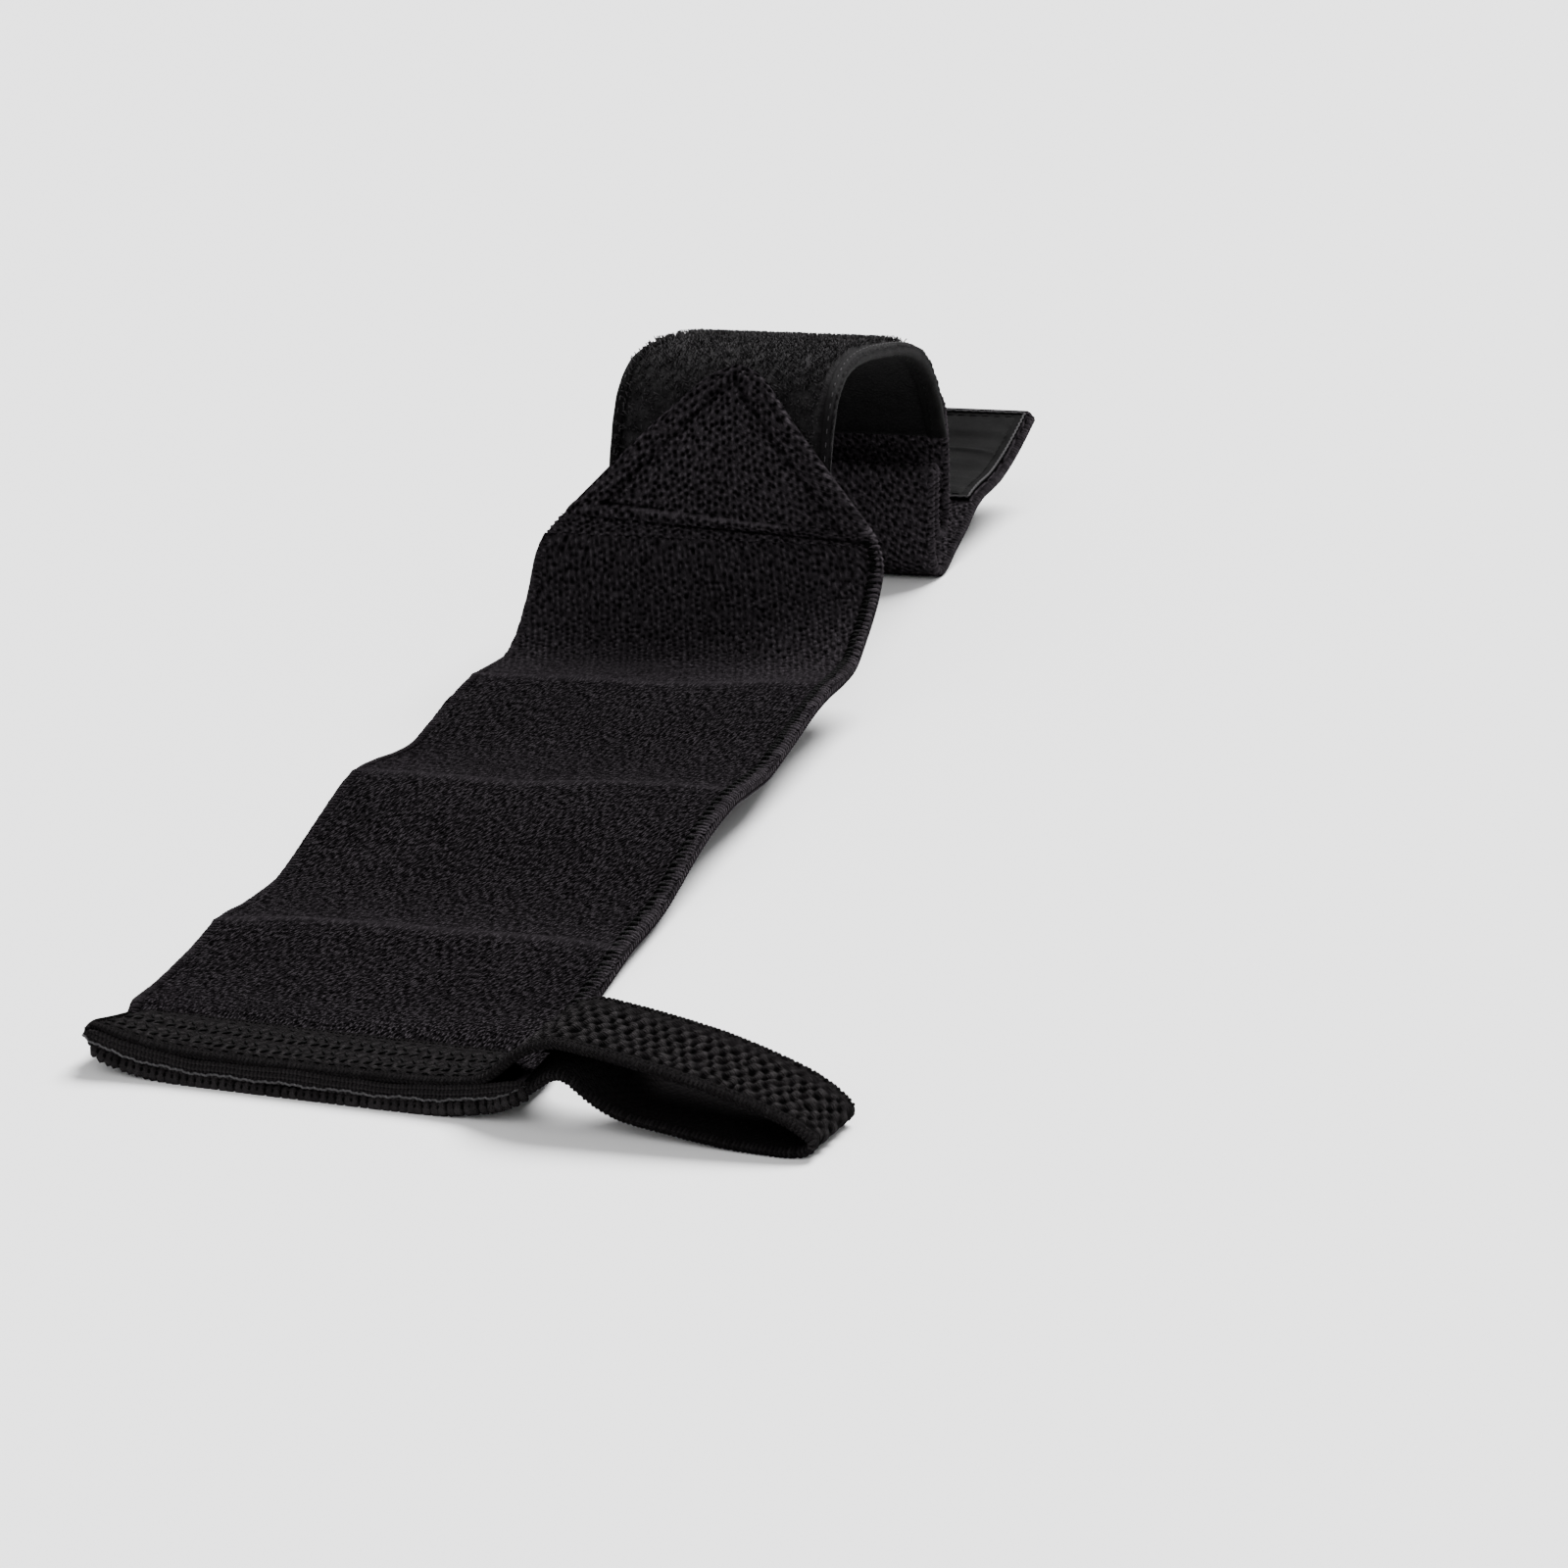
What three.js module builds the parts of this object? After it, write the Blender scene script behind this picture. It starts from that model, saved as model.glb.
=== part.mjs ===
// An unrolled elastic wrist wrap, lying as it falls from its roll.
// A wide knitted band waves along the floor, a webbing strap folded round its hem makes the thumb loop,
// and its folded point is sewn on a narrower closure strip that stands up as an arch, drops into a loose
// fold and ends in a tab. Millimetres, +X across the band, +Y from the thumb loop to the tab, +Z up.
import * as THREE from "three";

// Driving sizes
const floorLevel = 0;
const pieceGap = 0.3; // clearance between two layers that touch

const bandWidth = 80;
const bandThickness = 2.8;
const hemThickness = 1.8; // pressed flat under the strap's stitches
const bandRun = 290; // from the hem to the foot of the rise, along the floor
const foldHeight = 12; // the band's highest wave above the floor
const edgeRounding = 0.7;

const pointHeight = 40; // the folded point, from its full width to its tip
const pointTipWidth = 8;
const foldedCornerThickness = 1.1; // what the turned-in corners add under the point
const pointShift = 3; // the tip lies a little to the right
const weltHeight = 1.1;
const weltWidth = 5;
const weltFromFoot = 5; // above the point's full width
const weltSkew = THREE.MathUtils.degToRad(4);

const strapWidth = 20;
const strapThickness = 1.5;
const strapInset = 2.8; // its left end from the band's full width
const loopSpread = 1.8; // the webbing relaxes wider where nothing is sewn to it
const hemStart = -6.5; // where the band's cut end lies along Y
const hemSkew = THREE.MathUtils.degToRad(8.3);
const hemCornerLift = 5.5;
const hemSwayLeft = 3; // how far the hem's corners lie to the right of the band's edges
const hemSwayRight = 4.5;
const hemSetback = 0.5; // the band's cut end behind the upper strap's near edge
const lowerStrapForward = 1.5;
const loopReach = 55.2; // past the band's right edge
const loopHeight = 15.2;
const loopFarEdgeRise = 1.6;

const archFoot = 296.3; // where the closure strip's front leg stands along Y
const archSpan = 122;
const archHeight = 71.2;
const panelWidth = 49;
const panelLength = 163; // along the arch, from the seam at the point to the seam at the tail
const panelBaseThickness = 1.2;
const pileThickness = 1.9;
const pileShoulder = 0.8;

const bindingWall = 0.7;
const bindingOuterFlap = 2.6;
const bindingInnerFlap = 4.5;
const bindingCorner = 0.4;

const tailWidth = 50;
const tailThickness = 2.2;
const tailOverlap = 14; // sewn over the panel's end
const valleyRadius = 5.5;
const valleyHeight = 16; // the valley arc's centre
const ridgeRadius = 2.4;
const ridgeHeight = 26.3; // the ridge arc's centre
const curlRadius = 11.8;
const tabRun = 100; // from the curl's foot to the tab's end
const tabHeight = 22;

const patchLength = 64;
const labelWidth = 46;
const labelThickness = 0.6;
const hookThickness = 1.3;
const hookWidth = 48;
const patchEndMargin = 3;

const planBow = 7.9; // how far the wrap's line swings to the right over planBowRun
const planBowRun = 350;

// Each wave of the band: where it is along bandRun, the height of its underside at the left and right
// edges as shares of foldHeight, and how much of the hem's skew it still has.
const bandFolds = [
  { along: 0, left: 0.15, right: 0.15, skew: 1 },
  { along: 0.035, left: 0.15, right: 0.15, skew: 1 },
  { along: 0.075, left: 0.15, right: 0.15, skew: 0.95 },
  { along: 0.108, left: 0.08, right: 0.1, skew: 0.6 },
  { along: 0.145, left: -0.01, right: -0.01, skew: 0.25 },
  { along: 0.19, left: -0.01, right: -0.01, skew: 0.08 },
  { along: 0.235, left: 0.027, right: 0.057, skew: 0 },
  { along: 0.285, left: 0.147, right: 0.157, skew: 0 },
  { along: 0.33, left: 0.037, right: 0.167, skew: 0 },
  { along: 0.37, left: -0.01, right: 0.207, skew: 0 },
  { along: 0.405, left: -0.01, right: 0.327, skew: 0 },
  { along: 0.45, left: 0.177, right: 0.517, skew: 0 },
  { along: 0.5, left: 0.467, right: 0.667, skew: 0 },
  { along: 0.56, left: 0.737, right: 0.717, skew: 0 },
  { along: 0.6, left: 0.667, right: 0.647, skew: 0 },
  { along: 0.65, left: 0.497, right: 0.567, skew: 0 },
  { along: 0.69, left: 0.427, right: 0.627, skew: 0 },
  { along: 0.735, left: 0.527, right: 0.737, skew: 0 },
  { along: 0.79, left: 0.707, right: 0.877, skew: 0 },
  { along: 0.832, left: 0.797, right: 0.917, skew: 0 },
  { along: 0.88, left: 0.737, right: 0.897, skew: 0 },
  { along: 0.918, left: 0.697, right: 0.967, skew: 0 },
  { along: 0.945, left: 0.867, right: 1.247, skew: 0 },
  { along: 0.97, left: 1.267, right: 1.567, skew: 0 },
  { along: 0.99, left: 1.787, right: 1.917, skew: 0 },
];

// How far the hem's corners curl up: across as a share of half the band's width, lift of hemCornerLift.
const hemLifts = [
  { across: -1.05, lift: 1.05 },
  { across: -0.98, lift: 0.84 },
  { across: -0.87, lift: 0.58 },
  { across: -0.74, lift: 0.31 },
  { across: -0.6, lift: 0.12 },
  { across: -0.4, lift: 0 },
  { across: 0.5, lift: 0 },
  { across: 0.74, lift: 0.09 },
  { across: 0.87, lift: 0.23 },
  { across: 0.98, lift: 0.39 },
  { across: 1.1, lift: 0.58 },
  { across: 1.17, lift: 0.68 },
];

// The free part of the thumb loop, out to its end and back: out as a share of loopReach,
// rise above lying flat as a share of loopHeight less the strap's thickness, tilt of loopFarEdgeRise.
const loopOut = [
  { out: -0.035, rise: 0.5, tilt: 0.1 },
  { out: 0.035, rise: 0.74, tilt: 0.4 },
  { out: 0.1, rise: 0.91, tilt: 0.8 },
  { out: 0.17, rise: 0.995, tilt: 1 },
  { out: 0.28, rise: 0.955, tilt: 1 },
  { out: 0.43, rise: 0.86, tilt: 1 },
  { out: 0.58, rise: 0.74, tilt: 1 },
  { out: 0.73, rise: 0.6, tilt: 0.8 },
  { out: 0.87, rise: 0.43, tilt: 0.6 },
  { out: 0.955, rise: 0.28, tilt: 0.3 },
  { out: 0.995, rise: 0.14, tilt: 0.1 },
  { out: 0.975, rise: 0.035, tilt: 0 },
];
const loopBack = [
  { out: 0.92, rise: 0, tilt: 0 },
  { out: 0.83, rise: 0, tilt: 0 },
  { out: 0.7, rise: 0.03, tilt: 0.2 },
  { out: 0.55, rise: 0.11, tilt: 0.3 },
  { out: 0.4, rise: 0.2, tilt: 0.4 },
  { out: 0.28, rise: 0.33, tilt: 0.4 },
  { out: 0.21, rise: 0.37, tilt: 0.3 },
];

// The arch's outer line: run as a share of archSpan from archFoot, rise of archHeight.
const archLine = [
  { run: 0.0, rise: 0.463 },
  { run: 0.007, rise: 0.59 },
  { run: 0.021, rise: 0.716 },
  { run: 0.046, rise: 0.836 },
  { run: 0.088, rise: 0.927 },
  { run: 0.15, rise: 0.981 },
  { run: 0.235, rise: 1.0 },
  { run: 0.34, rise: 0.994 },
  { run: 0.457, rise: 0.972 },
  { run: 0.588, rise: 0.941 },
  { run: 0.71, rise: 0.899 },
  { run: 0.8, rise: 0.843 },
  { run: 0.875, rise: 0.758 },
  { run: 0.932, rise: 0.653 },
  { run: 0.97, rise: 0.534 },
  { run: 0.99, rise: 0.42 },
];

// The tab behind the curl: run as a share of tabRun, rise of tabHeight, for the tail's middle line.
const tabLine = [
  { run: 0.12, rise: 0.15 },
  { run: 0.23, rise: 0.29 },
  { run: 0.34, rise: 0.46 },
  { run: 0.44, rise: 0.52 },
  { run: 0.58, rise: 0.54 },
  { run: 0.74, rise: 0.66 },
  { run: 0.89, rise: 0.84 },
  { run: 1.0, rise: 1.0 },
];

// Shared helpers

// Reads a table at any value of its key, with straight stretches between its rows.
function readTable(rows, key, column, value) {
  const last = rows.length - 1;
  if (value <= rows[0][key]) return rows[0][column];
  if (value >= rows[last][key]) return rows[last][column];
  const next = rows.findIndex((row) => row[key] >= value);
  const [low, high] = [rows[next - 1], rows[next]];
  return THREE.MathUtils.mapLinear(value, low[key], high[key], low[column], high[column]);
}

// The wrap doesn't run quite straight on the floor: its middle line swings to the right.
function middleX(y) {
  return planBow * (Math.max(y, 0) / planBowRun) ** 2;
}

function smoothLine(points) {
  return new THREE.CatmullRomCurve3(points, false, "centripetal");
}

// Joins closed loops of equal length into one solid with flat ends.
// Each loop is { points, outline }: its corners in space, and the same corners on the section's own plane.
function loft(loops) {
  const corners = loops[0].points.length;
  const vertices = loops.flatMap((loop) => loop.points.flatMap((p) => p.toArray()));
  const faces = [];
  for (let i = 0; i + 1 < loops.length; i++) {
    for (let k = 0; k < corners; k++) {
      const next = (k + 1) % corners;
      const [a, b] = [i * corners + k, i * corners + next];
      const [c, d] = [a + corners, b + corners];
      faces.push(a, d, b, a, c, d);
    }
  }
  const lastLoop = (loops.length - 1) * corners;
  for (const [a, b, c] of THREE.ShapeUtils.triangulateShape(loops[0].outline, [])) faces.push(a, b, c);
  for (const [a, b, c] of THREE.ShapeUtils.triangulateShape(loops.at(-1).outline, [])) {
    faces.push(lastLoop + a, lastLoop + c, lastLoop + b);
  }
  const geometry = new THREE.BufferGeometry();
  geometry.setAttribute("position", new THREE.Float32BufferAttribute(vertices, 3));
  geometry.setIndex(faces);
  geometry.computeVertexNormals();
  return geometry;
}

// A station is a place on a path, with the directions across and out of the cloth there.
// The outline's points are [across, out], listed anticlockwise seen from the path's start.
function loopAt(station, outline) {
  return {
    outline: outline.map(([across, out]) => new THREE.Vector2(across, out)),
    points: outline.map(([across, out]) =>
      station.place.clone().addScaledVector(station.across, across).addScaledVector(station.out, out),
    ),
  };
}

// A flat tape's section: its width and what lies below and above the path, with blunt edges.
function tapeOutline(width, below, above) {
  const half = width / 2;
  const inset = Math.min(edgeRounding, half / 2);
  const middle = (above + below) / 2;
  return [
    [-half, middle],
    [-half + inset, below],
    [half - inset, below],
    [half, middle],
    [half - inset, above],
    [-half + inset, above],
  ];
}

// Stations at even steps along a line in the YZ plane, squarely across it.
function stationsAlong(line, from, to, step) {
  const length = line.getLength();
  const count = Math.max(2, Math.ceil((to - from) / step));
  return Array.from({ length: count + 1 }, (_, i) => {
    const share = THREE.MathUtils.clamp((from + ((to - from) * i) / count) / length, 0, 1);
    const place = line.getPointAt(share);
    const tangent = line.getTangentAt(share);
    const out = new THREE.Vector3(0, -tangent.z, tangent.y).normalize();
    const across = new THREE.Vector3(1, 0, 0);
    place.x = middleX(place.y);
    return { place, across, out };
  });
}

// The arch and its panel
const archPoints = archLine.map(
  ({ run, rise }) => new THREE.Vector3(0, archFoot + run * archSpan, rise * archHeight),
);
const archCurve = smoothLine(archPoints);
archCurve.arcLengthDivisions = 800;
const panelThickness = panelBaseThickness + pileThickness;
const archStep = 4;

// The loop-pile tape: thin at its bound edges, thick with pile between them. Its pile tips lie on the arch.
function pilePanel() {
  const half = panelWidth / 2;
  const back = -panelThickness;
  const base = back + panelBaseThickness;
  const pileHalf = half - bindingOuterFlap + bindingWall + pieceGap - edgeRounding;
  const outline = [
    [-half, back],
    [half, back],
    [half, base],
    [pileHalf, base],
    [pileHalf - pileShoulder, 0],
    [-pileHalf + pileShoulder, 0],
    [-pileHalf, base],
    [-half, base],
  ];
  const stations = stationsAlong(archCurve, 0, panelLength, archStep);
  return loft(stations.map((station) => loopAt(station, outline)));
}

// Smooth tape folded round one long edge of the panel. side is -1 for the left edge and 1 for the right.
function edgeBinding(side) {
  const half = panelWidth / 2;
  const back = -panelThickness;
  const base = back + panelBaseThickness;
  const inside = half + pieceGap;
  const outside = inside + bindingWall;
  const [under, over] = [back - pieceGap, base + pieceGap];
  const outline = [
    [outside - bindingInnerFlap, under - bindingWall],
    [outside - bindingCorner, under - bindingWall],
    [outside, under - bindingWall + bindingCorner],
    [outside, over + bindingWall - bindingCorner],
    [outside - bindingCorner, over + bindingWall],
    [outside - bindingOuterFlap, over + bindingWall],
    [outside - bindingOuterFlap, over],
    [inside, over],
    [inside, under],
    [outside - bindingInnerFlap, under],
  ];
  const placed = outline.map(([across, out]) => [side * across, out]);
  if (side < 0) placed.reverse();
  const stations = stationsAlong(archCurve, 0, panelLength, archStep);
  return loft(stations.map((station) => loopAt(station, placed)));
}

// The tail: over the panel's end, down the back leg, through a valley, over a ridge, round the curl
// and out along the tab.
function arcPoints(centreY, centreZ, radius, fromDegrees, toDegrees, steps) {
  return Array.from({ length: steps + 1 }, (_, i) => {
    const angle = THREE.MathUtils.degToRad(fromDegrees + ((toDegrees - fromDegrees) * i) / steps);
    return new THREE.Vector3(0, centreY + radius * Math.cos(angle), centreZ + radius * Math.sin(angle));
  });
}

function tailCurve() {
  const outside = pieceGap + tailThickness / 2;
  const sewn = stationsAlong(archCurve, panelLength - tailOverlap, panelLength, tailOverlap / 2).map(
    ({ place, out }) => new THREE.Vector3(0, place.y, place.z).addScaledVector(out, outside),
  );
  const backLegY = sewn.at(-1).y + 1.2;
  const valleyY = backLegY - valleyRadius;
  const ridgeY = valleyY - valleyRadius - ridgeRadius;
  const curlY = ridgeY - ridgeRadius + curlRadius;
  const restHeight = floorLevel + tailThickness / 2;
  const tab = tabLine.map(
    ({ run, rise }) =>
      new THREE.Vector3(0, curlY + run * tabRun, restHeight + rise * (tabHeight - restHeight)),
  );
  return smoothLine([
    ...sewn,
    ...arcPoints(valleyY, valleyHeight, valleyRadius, 0, -180, 6),
    ...arcPoints(ridgeY, ridgeHeight, ridgeRadius, 0, 180, 6),
    ...arcPoints(curlY, restHeight + curlRadius, curlRadius, 180, 270, 4),
    ...tab,
  ]);
}

const tail = tailCurve();
tail.arcLengthDivisions = 1200;
const tailLength = tail.getLength();
const tailStep = 2.8;

function tailBand() {
  const outline = tapeOutline(tailWidth, -tailThickness / 2, tailThickness / 2);
  const stations = stationsAlong(tail, 0, tailLength, tailStep);
  return loft(stations.map((station) => loopAt(station, outline)));
}

// A patch sewn flat on the tab: on its outer face where out is positive, else under it.
function tabPatch(width, from, to) {
  const outline = tapeOutline(width, from, to);
  const end = tailLength - patchEndMargin;
  const stations = stationsAlong(tail, end - patchLength, end, 2 * tailStep);
  return loft(stations.map((station) => loopAt(station, outline)));
}

// The elastic band
const half = bandWidth / 2;

function bandRow({ along, left, right, skew }) {
  const y = hemStart + along * (bandRun - hemStart);
  const turn = half * Math.tan(hemSkew) * skew;
  const edge = (side, share, sway) => {
    const x = middleX(y) + side * half + sway * skew ** 2;
    return new THREE.Vector3(x, y - side * turn, floorLevel + share * foldHeight);
  };
  return { left: edge(-1, left, hemSwayLeft), right: edge(1, right, hemSwayRight) };
}

// Above the foot of the rise the band lies on the closure strip's front leg.
function legRow(distance) {
  const [station] = stationsAlong(archCurve, distance, distance + 1, 1);
  const underside = station.place.clone().addScaledVector(station.out, 1.5 * pieceGap + foldedCornerThickness);
  const edge = (side) => underside.clone().addScaledVector(station.across, side * half);
  return { left: edge(-1), right: edge(1) };
}

const pointOnLeg = pointHeight - weltFromFoot + weltWidth / 2; // how far the point reaches up the leg
const legRows = [0.03, 0.16, 0.3, 0.44, 0.58, 0.72, 0.86, 1].map((share) => legRow(share * pointOnLeg));
const bandRows = [...bandFolds.map(bandRow), ...legRows];
const leftRail = smoothLine(bandRows.map((row) => row.left));
const rightRail = smoothLine(bandRows.map((row) => row.right));

// Shares of the rails' parameter and the distance along the band there, worked out once.
const railSamples = (() => {
  const steps = 900;
  const samples = [{ t: 0, distance: 0 }];
  let before = leftRail.getPoint(0).add(rightRail.getPoint(0)).multiplyScalar(0.5);
  for (let i = 1; i <= steps; i++) {
    const t = i / steps;
    const here = leftRail.getPoint(t).add(rightRail.getPoint(t)).multiplyScalar(0.5);
    samples.push({ t, distance: samples.at(-1).distance + here.distanceTo(before) });
    before = here;
  }
  return samples;
})();
const bandLength = railSamples.at(-1).distance;

function bandStation(distance) {
  const t = readTable(railSamples, "distance", "t", distance);
  const [left, right] = [leftRail.getPoint(t), rightRail.getPoint(t)];
  const place = left.clone().add(right).multiplyScalar(0.5);
  const across = right.clone().sub(left);
  const halfSpan = across.length() / 2;
  across.normalize();
  const tangent = leftRail.getTangent(t).add(rightRail.getTangent(t));
  const out = new THREE.Vector3().crossVectors(across, tangent).normalize();
  return { place, across, out, half: halfSpan };
}

function fromHem(x, y) {
  return y - hemStart + x * Math.tan(hemSkew);
}

// The hem's corners curl up, and the curl dies away across the strap.
function hemLift(x, y) {
  const fade = 1 - THREE.MathUtils.clamp(fromHem(x, y) / strapWidth, 0, 1);
  return fade * frontLift(x);
}

function frontLift(x) {
  return hemCornerLift * readTable(hemLifts, "across", "lift", x / half);
}

const bandColumns = hemLifts.slice(1, -2).map((row) => row.across);

function elasticBand() {
  const foot = bandLength - pointHeight;
  const welt = foot + weltFromFoot;
  const widthAt = (distance) =>
    distance < foot
      ? bandWidth
      : THREE.MathUtils.mapLinear(distance, foot, bandLength, bandWidth, pointTipWidth);
  const coarse = 5;
  const fine = weltWidth / 4;
  const weltReach = weltWidth / 2 + half * Math.tan(weltSkew);
  const distances = [];
  for (let d = 0; d < bandLength; ) {
    distances.push(d);
    const next = Math.abs(d - welt) < weltReach ? fine : coarse;
    d += d < foot - coarse && d + next > foot ? foot - d : next;
  }
  distances.push(bandLength);
  return loft(
    distances.map((distance) => {
      const station = bandStation(distance);
      const halfHere = (widthAt(distance) / bandWidth) * station.half;
      const thickness = THREE.MathUtils.lerp(
        hemThickness,
        bandThickness,
        THREE.MathUtils.smoothstep(distance, strapWidth, strapWidth * 1.4),
      );
      const point = THREE.MathUtils.smoothstep(distance, foot, foot + weltFromFoot);
      const shift = pointShift * THREE.MathUtils.clamp((distance - foot) / pointHeight, 0, 1);
      const under = (column) => [shift + column * halfHere, -foldedCornerThickness * point];
      const over = (column) => {
        const across = column * halfHere;
        const fromWelt = Math.abs(distance - welt + across * Math.tan(weltSkew)) / (weltWidth / 2);
        const welted = fromWelt < 1 ? weltHeight * Math.cos((fromWelt * Math.PI) / 2) ** 2 : 0;
        return [shift + across, thickness + welted];
      };
      const edge = (side) => [shift + side * halfHere, (thickness - foldedCornerThickness * point) / 2];
      const outline = [
        edge(-1),
        ...bandColumns.map(under),
        edge(1),
        ...bandColumns.map(over).reverse(),
      ];
      const loop = loopAt(station, outline);
      loop.points.forEach((p) => {
        p.z = Math.max(p.z + hemLift(p.x, p.y), floorLevel);
      });
      return loop;
    }),
  );
}

// The thumb loop: one strap over the hem, out past the right edge, round and back under the hem.
function thumbLoop() {
  const hemUnderside = bandFolds[0].left * foldHeight;
  const rest = floorLevel + strapThickness / 2;
  const upperHeight = floorLevel + hemUnderside + hemThickness + 1.7 * pieceGap + strapThickness / 2;
  const free = ({ out, rise, tilt }, layer) => ({
    x: half + out * loopReach,
    z: rest + rise * (loopHeight - strapThickness),
    tilt,
    layer,
    sewn: 0,
  });
  const onHem = (share, layer) => ({
    x: share * half,
    z: (layer ? rest : upperHeight) + frontLift(share * half),
    tilt: 0,
    layer,
    sewn: 1,
  });
  const leftEnd = strapInset / half - 1;
  const hemShares = [leftEnd, ...bandColumns.filter((share) => share > leftEnd)];
  const rows = [
    ...hemShares.slice(0, -1).map((share) => onHem(share, 0)),
    ...loopOut.map((row) => free(row, 0.5)),
    ...loopBack.map((row) => free(row, 1)),
    onHem(hemLifts.at(-1).across, 1),
    onHem(hemLifts.at(-2).across, 1),
    ...hemShares.map((share) => onHem(share, 1)).reverse(),
  ];
  // The curve carries the route; the other columns are read at the same rows.
  const route = smoothLine(rows.map((row) => new THREE.Vector3(row.x, 0, row.z)));
  const manner = (t, column) => {
    const place = t * (rows.length - 1);
    const low = Math.min(Math.floor(place), rows.length - 2);
    return THREE.MathUtils.lerp(rows[low][column], rows[low + 1][column], place - low);
  };
  const nearEdge = (x, layer) =>
    hemStart - hemSetback - x * Math.tan(hemSkew) - layer * lowerStrapForward;
  const perRow = 3;
  const count = (rows.length - 1) * perRow;
  const loops = Array.from({ length: count + 1 }, (_, i) => {
    const t = i / count;
    const point = route.getPoint(t);
    const tangent = route.getTangent(t);
    const along = new THREE.Vector3(
      tangent.x * Math.cos(hemSkew),
      -tangent.x * Math.sin(hemSkew),
      tangent.z,
    ).normalize();
    const tilt = manner(t, "tilt");
    const rise = (tilt * loopFarEdgeRise) / strapWidth;
    const width = strapWidth + tilt * loopSpread;
    const across = new THREE.Vector3(Math.sin(hemSkew), Math.cos(hemSkew), rise).normalize();
    const out = new THREE.Vector3().crossVectors(along, across).normalize();
    const place = new THREE.Vector3(point.x, nearEdge(point.x, manner(t, "layer")), point.z);
    place.addScaledVector(across, width / 2);
    const outline = tapeOutline(width, -strapThickness / 2, strapThickness / 2);
    const loop = loopAt({ place, across: across.negate(), out }, outline);
    loop.points.forEach((p) => {
      const lifted = manner(t, "sewn") * (hemLift(p.x, p.y) - frontLift(point.x));
      p.z = Math.max(p.z + lifted, floorLevel);
    });
    return loop;
  });
  return loft(loops);
}

// Finishes
const finish = (color, roughness) => new THREE.MeshStandardMaterial({ color, roughness, metalness: 0 });
const knit = finish(0x1a191a, 0.95);
const webbing = finish(0x171617, 0.9);
const pile = finish(0x0f0f10, 1);
const tape = finish(0x1d1c1d, 0.7);
const satin = finish(0x1c1b1c, 0.55);
const hook = finish(0x141414, 0.8);

function piece(name, geometry, material) {
  const mesh = new THREE.Mesh(geometry, material);
  mesh.name = name;
  return mesh;
}

const wrap = new THREE.Group();
const outerFace = tailThickness / 2 + pieceGap;
wrap.add(
  piece("elastic_band", elasticBand(), knit),
  piece("thumb_loop", thumbLoop(), webbing),
  piece("pile_panel", pilePanel(), pile),
  piece("edge_binding_left", edgeBinding(-1), tape),
  piece("edge_binding_right", edgeBinding(1), tape),
  piece("tail_band", tailBand(), knit),
  piece("label_patch", tabPatch(labelWidth, outerFace, outerFace + labelThickness), satin),
  piece("hook_patch", tabPatch(hookWidth, -outerFace - hookThickness, -outerFace), hook),
);

// The origin is the middle of the whole wrap's footprint, on the floor.
const box = new THREE.Box3().setFromObject(wrap);
wrap.position.set(-(box.min.x + box.max.x) / 2, -(box.min.y + box.max.y) / 2, -box.min.z);

export default wrap;
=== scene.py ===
# %% [markdown]
# # An unrolled elastic wrist wrap
# A wrist wrap is a wide elastic band with a thumb loop at one end and a hook-and-loop closure strip at
# the other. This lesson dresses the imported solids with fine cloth: knit, webbing, pile, tape and satin.
# The camera comes first, because every later choice of detail depends on what it sees.
# %% Load the frame and place the camera
import copy
import math

import bpy
import numpy as np
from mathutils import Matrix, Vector


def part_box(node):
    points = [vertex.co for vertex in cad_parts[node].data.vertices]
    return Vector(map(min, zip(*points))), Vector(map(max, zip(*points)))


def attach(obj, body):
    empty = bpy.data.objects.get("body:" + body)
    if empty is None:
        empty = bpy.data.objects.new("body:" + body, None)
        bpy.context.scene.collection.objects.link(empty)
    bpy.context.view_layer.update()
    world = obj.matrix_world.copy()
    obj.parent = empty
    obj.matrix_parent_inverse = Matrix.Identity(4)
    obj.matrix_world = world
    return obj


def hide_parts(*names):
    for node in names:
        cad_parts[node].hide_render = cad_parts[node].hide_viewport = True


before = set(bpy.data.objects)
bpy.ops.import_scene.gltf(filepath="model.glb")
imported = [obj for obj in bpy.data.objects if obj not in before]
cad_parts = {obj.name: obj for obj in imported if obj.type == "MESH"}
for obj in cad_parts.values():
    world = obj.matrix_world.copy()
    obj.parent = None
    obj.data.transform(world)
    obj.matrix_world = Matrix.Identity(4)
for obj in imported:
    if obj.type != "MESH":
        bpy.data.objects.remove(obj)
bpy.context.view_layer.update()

MM = 0.001
PLAN_BOW = 7.9
PLAN_BOW_RUN = 350.0
PANEL_WIDTH = 49.0
ARCH_FOOT = 296.3


def middle_x(y):
    """The wrap's middle line swings to the right along its length, in millimetres."""
    return PLAN_BOW * (np.maximum(y, 0) / PLAN_BOW_RUN) ** 2


# All sections below are written in millimetres from the band's own middle line and hem. The packed
# solids have their origin elsewhere, and one known corner of the panel gives the way between the two.
panel_corner = np.array(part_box("pile_panel")[0])[:2] / MM
ORIGIN = np.array([*(panel_corner - [middle_x(ARCH_FOOT) - PANEL_WIDTH / 2, ARCH_FOOT]), 0.0])

CAMERA_PLACE = np.array([255.2, -780.3, 269.8])
CAMERA_PITCH = math.radians(14.9)
CAMERA_TURN = math.radians(12.25)
CAMERA_LENS = 115.5

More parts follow.
